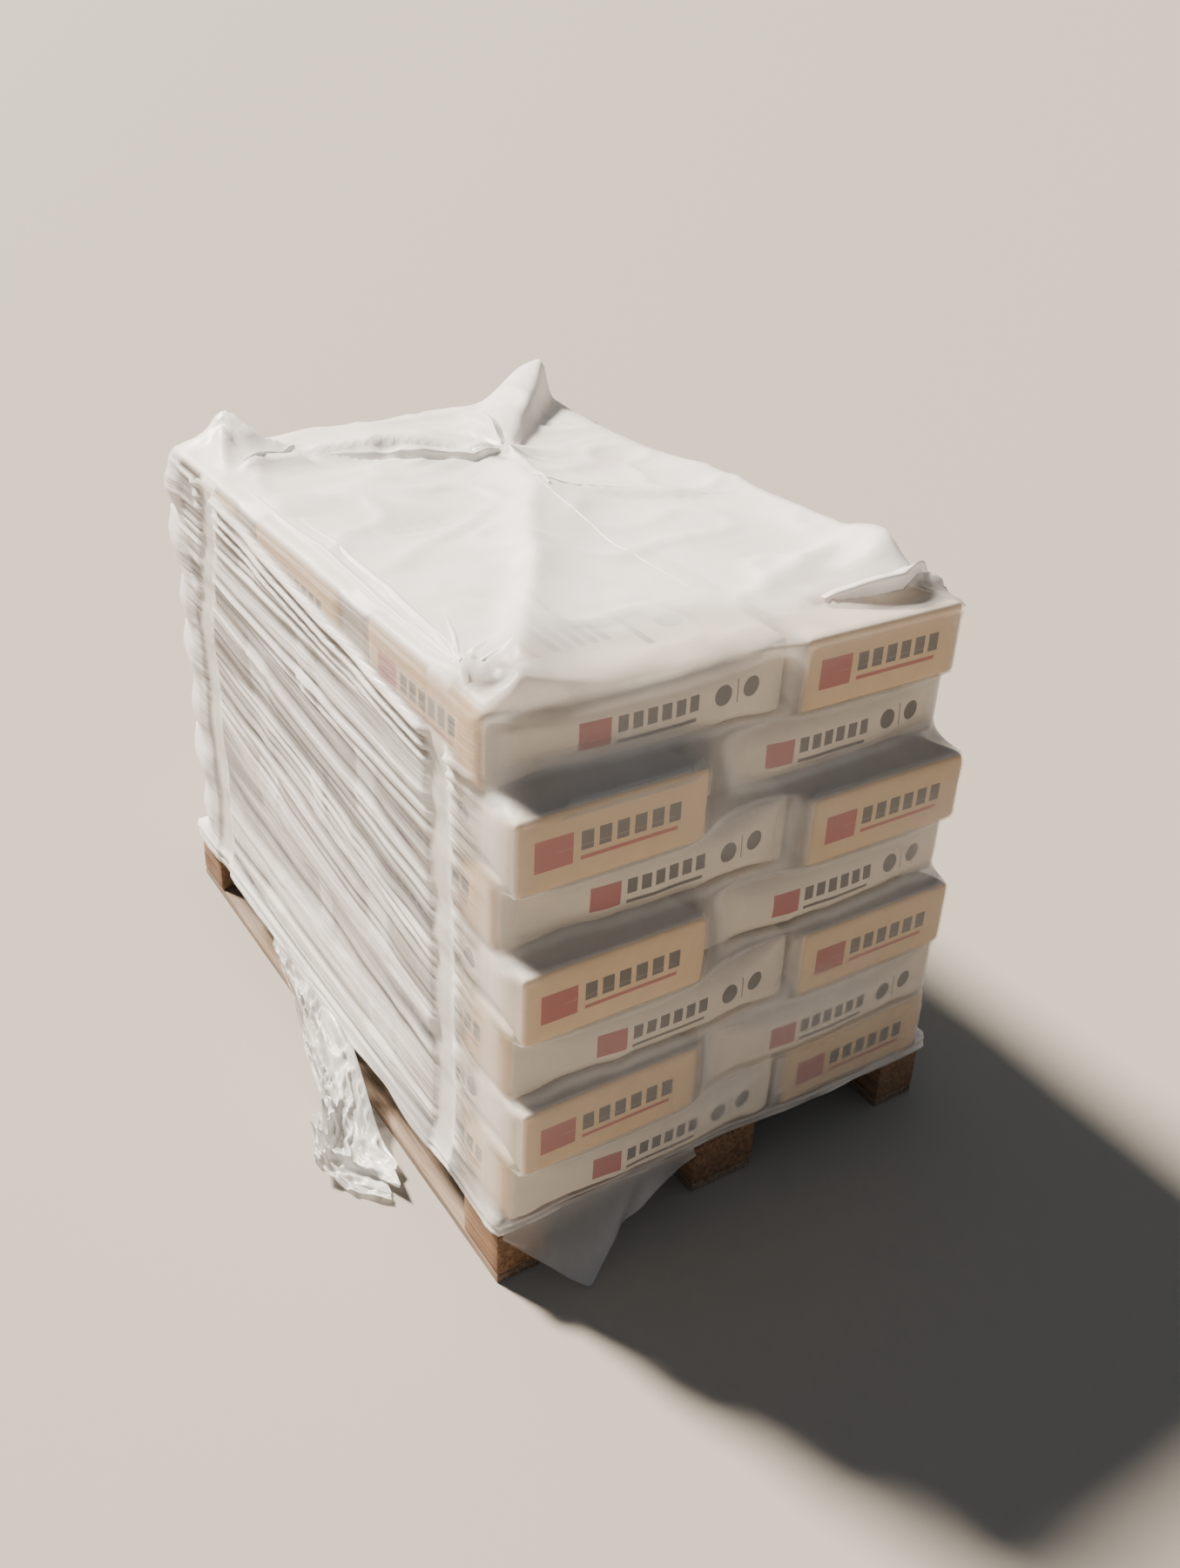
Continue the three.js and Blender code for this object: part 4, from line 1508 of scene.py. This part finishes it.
    def hem(self) -> tuple[Array, Array]:
        """Shape the gathered hem: two rounded rolls that wander along the edge, and an uneven lower edge.

        Each roll is a bell curve over the height. Noise along the way round moves and swells it.

        Returns:
            How far the film stands out, and how far it is moved up or down.
        """
        along, above = self.places * 9.0, self.levels - self.hem_z
        wander = noise_at(91, along, 0.0) * 4.0 * MM
        swell = 0.75 + 0.5 * noise_at(93, along * 2.1, 0.0)
        rim = swell * 6.0 * MM * bell((above - 6.0 * MM - wander) / (5.0 * MM))
        rim = rim + 4.0 * MM * bell((above - 21.0 * MM - 2.0 * wander) / (5.0 * MM))
        return rim, noise_at(95, along * 1.3, 0.0) * 6.0 * MM * np.exp(-above / (12.0 * MM))

    def smooth_shares(self, bare: Array) -> tuple[Array, Array, Array]:
        """Find where the sides are smoother or finer than elsewhere.

        Args:
            bare: The film's points without ridges.

        Returns:
            Shares of the wedge under the top, of the strip beside the front band, both of them on the left
            only, and of what lies behind the back band.
        """
        along = bare[..., 1]
        beside_front = ramp(-along, 0.47, 0.495) * self.left
        return self.ridges.wedge(bare) * self.left, beside_front, ramp(along, *self.ridges.outside)

    def side_cover(self, bare: Array, gap: Array, ridge: Array, ridged: Array) -> Array:
        """Work out how much the sides hide.

        It is least on the front where the film clings, and most on a ridge's crest. The front has cloudy
        patches and is hazier low down. On the left, the wedge and the strip beside the front band hide less.

        Args:
            bare: The film's points without ridges.
            gap: How far the film stands off the load.
            ridge: How far each point stands out on a ridge.
            ridged: Where the film has ridges.

        Returns:
            Shares, rows first.
        """
        wedge, beside_front, behind = self.smooth_shares(bare)
        pairs = (self.clinging_cover, self.standing_cover)
        clinging, standing = (beside + (front - beside) * self.front for beside, front in pairs)
        crest = np.clip(ridge / (6.0 * MM), 0.0, 1.0)
        row, line = np.ogrid[: self.rows, : len(self.places)]
        patch = noise_at(57, line * 0.05, row * 0.03) * 0.12
        low = (1.0 - ramp(self.levels, 0.2, 0.6)) * 0.1
        haze = (standing - clinging) * ramp(gap, 3.0 * MM, 22.0 * MM)
        cover = clinging + (patch + low) * self.front + haze + ridged * (0.26 * crest - 0.06)
        clearer = np.maximum(self.wedge_clearer * wedge, self.beside_clearer * beside_front)
        return np.clip(cover, 0.05, 1.0) - clearer + self.behind_hazier * behind * (1.0 - self.back)

    def side_shade(self, bare: Array, gap: Array, ridge: Array, ridged: Array) -> Array:
        """Work out the painted shade on the sides, which darkens the film where shade falls.

        That is in the grooves between the ridges, less so where the film is smoother, over the hollows
        between the layers on the front, and in a lip under the knot.

        Args:
            bare: The film's points without ridges.
            gap: How far the film stands off the load.
            ridge: How far each point stands out on a ridge.
            ridged: Where the film has ridges.

        Returns:
            Shares, rows first.
        """
        across, along, up = bare[..., 0], bare[..., 1], bare[..., 2]
        wedge, beside_front, behind = self.smooth_shares(bare)
        outside = ramp(np.abs(along), *self.ridges.outside)
        kept = (1.0 - 0.8 * wedge) * (1.0 - 0.5 * outside - 0.25 * beside_front - 0.45 * behind)
        groove = ridged * (1.0 - np.clip(ridge / (4.8 * MM), 0.0, 1.0)) ** 0.9 * kept
        ledge = self.ledge_shade * self.front * ramp(gap, 8.0 * MM, 30.0 * MM)
        lip = band_share(across, self.lip_across, 50.0 * MM) * band_share(up, self.lip_up, 9.0 * MM)
        lip = self.lip_shade * lip * ramp(-self.outs[:, 1], 0.3, 0.9)
        # Painted shade in the grooves, over the front hollows and in the lip; the wedge and the strip beside the
        # front band get a light grey tint of the shade colour
        return np.maximum.reduce([groove, ledge, 0.28 * wedge, 0.168 * beside_front, lip])

    def sides(self, sacks: Array) -> Surface:
        """Work out the sides: the settled film along slanted rows, with its ridges, swellings and hem.

        Args:
            sacks: Points all over the sacks.

        Returns:
            The surface, closed round.
        """
        reach = self.reach_of_load(np.concatenate([sacks, self.pallet_points()]))
        distance = self.settling.sides(reach, self.feet, self.outs)
        distance = distance + 3.0 * MM * ramp(self.levels, self.shoulder_z - 25.0 * MM, self.shoulder_z)
        heights = self.slanted_levels()
        distance, reach = self.slid(distance, heights), self.slid(reach, heights)
        bare = np.dstack([self.feet + distance[..., None] * self.outs, heights])
        gap = distance - reach
        ridged = self.ridges.share(bare, self.outs)
        ridge = self.ridges.heights(bare, gap, self.levels) * ridged
        ridge[-1] = 0.0
        rim, drop = self.hem()
        cover = np.clip(self.side_cover(bare, gap, ridge, ridged) + rim / (14.0 * MM), 0.0, 1.0)
        shade = self.side_shade(bare, gap, ridge, ridged)
        film_run = placed(self.places, self.levels, 0.0)
        plan = self.feet + (distance + self.back_bulges(bare) + ridge + rim)[..., None] * self.outs
        values = {"cover": cover, "film_run": film_run, "ridged": ridged, "shade": shade}
        return Surface(np.dstack([plan, heights + drop]), True, False, values)

    def top_plan(self, ring: Array) -> Array:
        """Fill the shoulder ring with a patch: each point blends the four edges, less the four corners.

        Args:
            ring: The plan points of the shoulder, from the front left corner anticlockwise.

        Returns:
            Plan points, front to back first, then left to right.
        """
        across = self.outline.across_cells + 2 * self.outline.half_corner_cells
        along = self.outline.along_cells + 2 * self.outline.half_corner_cells
        closed = np.concatenate([ring, ring[:1]])
        front = closed[: across + 1][None, :]
        right = closed[across : across + along + 1][:, None]
        back = closed[across + along : 2 * across + along + 1][::-1][None, :]
        left = closed[2 * across + along :][::-1][:, None]
        s = np.linspace(0.0, 1.0, across + 1)[None, :, None]
        t = np.linspace(0.0, 1.0, along + 1)[:, None, None]
        corners = (1 - s) * (1 - t) * front[:, :1] + s * (1 - t) * front[:, -1:]
        corners = corners + (1 - s) * t * back[:, :1] + s * t * back[:, -1:]
        return (1 - t) * front + t * back + (1 - s) * left + s * right - corners

    def cells_of(self, plan: Array) -> tuple[Array, Array]:
        """Return the column and the row of the square cell that each plan point lies in."""
        cell = ((plan - np.array(self.plan_low)) / self.plan_cell).astype(int)
        cell = np.clip(cell, 0, np.array(self.plan_cells) - 1)
        return cell[..., 0], cell[..., 1]

    def load_below(self, plan: Array, sacks: Array) -> Array:
        """Find the load's highest point in the square cell that each plan point lies in.

        Args:
            plan: Plan points.
            sacks: Points all over the sacks.

        Returns:
            Heights.
        """
        lowest = self.shoulder_z - 30.0 * MM
        heights = np.full(self.plan_cells, lowest)
        near = sacks[sacks[:, 2] > lowest]
        np.maximum.at(heights, self.cells_of(near[:, :2]), near[:, 2])
        return heights[self.cells_of(plan)]

    def top(self, ring: Array, sacks: Array) -> Surface:
        """Work out the top: the settled film with its folds and ripples, which end at the shoulder.

        Args:
            ring: The plan points of the shoulder.
            sacks: Points all over the sacks.

        Returns:
            The open surface.
        """
        plan = self.top_plan(ring)
        load = self.load_below(plan, sacks)
        film = self.settling.top(load, self.shoulder_z)
        last_row, last_column = film.shape[0] - 1, film.shape[1] - 1
        row, column = np.ogrid[: last_row + 1, : last_column + 1]
        edge = np.minimum(np.minimum(row, last_row - row), np.minimum(column, last_column - column))
        film = film + self.folds.heights(plan) * ramp(edge, 0.0, 2.0)
        film = film + self.folds.ripples(plan) * ramp(edge, 0.0, 7.0)
        standing = ramp(film - load, 2.0 * MM, 22.0 * MM)
        near_front = 1.0 - ramp(plan[..., 1] + 0.03 * smooth_noise(plan * 9.0, 69), -0.51, -0.38)
        cover = 0.8 - 0.42 * near_front + (0.18 + 0.1 * near_front) * standing
        # Painted shade in the openings and over the front strip, where the top rounds down away from the light
        return top_surface(plan, film, cover, np.maximum(self.folds.pockets(plan), 0.32 * near_front))

    def build(self, film_finish: Material) -> bpy.types.Object:
        """Make the hood.

        Args:
            film_finish: The film's material.

        Returns:
            The piece.
        """
        sacks = self.load.sampled_points()
        sides = self.sides(sacks)
        top = self.top(sides.points[-1, :, :2], sacks)
        loose = [strip.surface(top.points.reshape(-1, 3)) for strip in self.folds.strips()]
        piece = mesh_object("film_hood", [sides, top, *loose, CornerFlap().surface()], film_finish)
        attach(piece, "root")
        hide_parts("stretch_hood")
        return piece


@dataclass
class LooseTail:
    """The crumpled strip of film that hangs from the left side at the pallet and lies on the floor."""

    back: float = 0.2
    front: float = -0.36
    rows: int = 150
    columns: int = 84

    def surface(self) -> Surface:
        """Work out the strip: a curve falls from the pallet's edge at each place along, and creases crumple it.

        From back to front, the strip's reach and the height of its foot follow lists of stations. Its upper
        edge lets go of the pallet over the front half. Wide, narrow and fine creases lift it up and out.

        Returns:
            The open surface.
        """
        t = np.linspace(0.0, 1.0, self.rows)[:, None]
        s = np.linspace(0.0, 1.0, self.columns)[None, :]
        stations = [0.0, 0.2, 0.4, 0.55, 0.7, 0.82, 0.92, 1.0]
        reach = np.interp(t, stations, [0.006, 0.02, 0.045, 0.06, 0.09, 0.108, 0.08, 0.035])
        foot = np.interp(t, stations, [0.085, 0.055, 0.02, 0.004, 0.003, 0.003, 0.003, 0.003])
        ragged = 0.03 * noise_at(89, s * 5.0, t * 2.0) * ramp(t, 0.7, 1.0)
        y = self.back + (self.front - self.back) * t - 0.03 * s * np.sin(t * math.pi) + ragged
        fall, let_go = np.clip(s * 1.55, 0.0, 1.0), ramp(t, 0.5, 0.92)
        head_x, head_z = -0.4055 - 0.022 * let_go, 0.112 - 0.092 * let_go
        x = head_x - reach * (0.35 * fall**0.8 + 0.65 * s**1.4)
        z = head_z + (foot - head_z) * fall**1.1
        place = placed(y * 20.0, s * 4.0)
        wide = creases(place, 81)
        narrow = creases(place * 2.3 + wide[..., None] * 0.6, 83)
        fine = creases(place * 5.1, 85)
        below_edge = np.sin(np.clip(s * 1.1 + 0.02, 0.0, 1.0) * math.pi / 2.0)
        loose = below_edge * np.sin(np.clip(t, 0.03, 0.94) * math.pi) ** 0.6
        heap = 1.0 + 0.7 * ramp(t, 0.45, 0.7)
        lift = (wide**3 * 26.0 + narrow**3 * 13.0 + fine**2 * 4.0) * MM * loose * heap
        aside = smooth_noise(place * 1.4, 87) * 10.0 * MM * loose
        cover = np.clip(0.48 + 0.35 * wide**2 + 0.3 * narrow**3 + 0.25 * t**3, 0.0, 0.97)
        # Painted shade in the hollows between the narrow creases
        shade = np.clip(0.45 - 0.6 * narrow, 0.0, 0.4)
        run = placed(y, s * 0.17, 0.0)
        values = {"cover": cover, "film_run": run, "ridged": np.zeros_like(y), "shade": shade}
        return Surface(placed(x - 0.25 * lift, y + aside, z + 0.95 * lift), False, False, values)

    def build(self, film_finish: Material) -> bpy.types.Object:
        """Make the strip.

        Args:
            film_finish: The film's material.

        Returns:
            The piece.
        """
        piece = mesh_object("film_tail", [self.surface()], film_finish)
        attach(piece, "root")
        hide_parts("loose_film_tail")
        return piece


# The picture


@dataclass(frozen=True)
class Viewpoint:
    """Where the photo was taken from: place in metres, heading, downward pitch and roll in radians, and lens."""

    place: Triple = (-1.10599, -1.82699, 1.66404)
    heading: float = -0.59172
    pitch: float = 0.53123
    roll: float = 0.04772
    focal_pixels: float = 1656.3

    def add_camera(self) -> None:
        """Put the camera in the scene and make it the scene's own."""
        lens = bpy.data.cameras.new("photo_view")
        lens.sensor_width = SENSOR_MM
        lens.lens = self.focal_pixels / PHOTO_HEIGHT * SENSOR_MM
        lens.clip_end = 500.0
        ahead = math.cos(self.pitch)
        back = np.array([math.sin(self.heading) * ahead, -math.cos(self.heading) * ahead, math.sin(self.pitch)])
        right = np.cross(-back, (0.0, 0.0, 1.0))
        right /= np.linalg.norm(right)
        up = np.cross(right, -back)
        rolled = math.cos(self.roll) * right + math.sin(self.roll) * up
        rolled_up = -math.sin(self.roll) * right + math.cos(self.roll) * up
        camera = linked("photo_view", lens)
        camera.matrix_world = standing_matrix(rolled, rolled_up, back, self.place)
        bpy.context.scene.camera = camera


@dataclass(frozen=True)
class SoftStudio:
    """A pale floor and soft light: the key comes from behind, high up on the left, and a cool sky fills in."""

    key_from: Triple = (-0.26, 0.66, 0.70)
    key_height: float = 3.0
    key_angle: float = 0.16
    key_strength: float = 18.0
    key_colour: str = "#FFF3E4"
    sky: str = "#D5E0EE"
    sky_strength: float = 0.28
    half_floor: float = 220.0

    def key(self) -> bpy.types.Object:
        """Add the key: a distant lamp with a soft disc, turned so that its back points where it comes from.

        Returns:
            The lamp.
        """
        data = bpy.data.lights.new("key", "SUN")
        data.energy = self.key_strength
        data.angle = self.key_angle
        data.color = linear_colour(self.key_colour)[:3]
        towards = np.array(self.key_from) / np.linalg.norm(self.key_from)
        side = np.cross((0.0, 0.0, 1.0), towards)
        side /= np.linalg.norm(side)
        lamp = linked("key", data)
        lamp.matrix_world = standing_matrix(side, np.cross(towards, side), towards, (0.0, 0.0, self.key_height))
        return lamp

    def floor(self) -> bpy.types.Object:
        """Add the floor: one large square.

        Returns:
            The floor.
        """
        half = self.half_floor
        corners = [(-half, -half, 0.0), (half, -half, 0.0), (half, half, 0.0), (-half, half, 0.0)]
        mesh = bpy.data.meshes.new("floor")
        mesh.from_pydata(corners, [], [(0, 1, 2, 3)])
        mesh.materials.append(PaperFloor().material())
        return linked("floor", mesh)

    def build(self) -> None:
        """Add the floor, the key and the sky's plain light."""
        floor = self.floor()
        world = bpy.data.worlds.new("studio")
        world.use_nodes = True
        background = world.node_tree.nodes["Background"]
        background.inputs["Color"].default_value = linear_colour(self.sky)
        background.inputs["Strength"].default_value = self.sky_strength
        bpy.context.scene.world = world
        self.key()


def main() -> None:
    """Build the pieces in order, dress them and hand the scene over."""
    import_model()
    boards = WeatheredPine("weathered_board", pale="#8E7660", dark="#564638", grey="#7D746A").material()
    blocks = WeatheredPine("pressed_block", pale="#8C6A4B", dark="#573D2A", grey="#7C6855").material()
    Pallet().build(boards, blocks)
    log.info("pallet built")
    load = SackLoad()
    load.build(KraftSackPaper().material())
    log.info("sacks built")
    outline = HoodOutline(left=-0.31, right=0.29, front=-0.48, back=0.48)
    hood_film = StretchFilm("hood_film_skin", "#F6F3F0")
    StretchHood(load, outline).build(hood_film.material())
    log.info("hood built")
    LooseTail().build(StretchFilm("loose_film_skin", "#F0F0EE", roughness=0.28).material())
    log.info("tail built")
    Viewpoint().add_camera()
    SoftStudio().build()


if __name__ == "__main__":
    logging.basicConfig(level=logging.INFO, format="%(name)s: %(message)s")
    main()
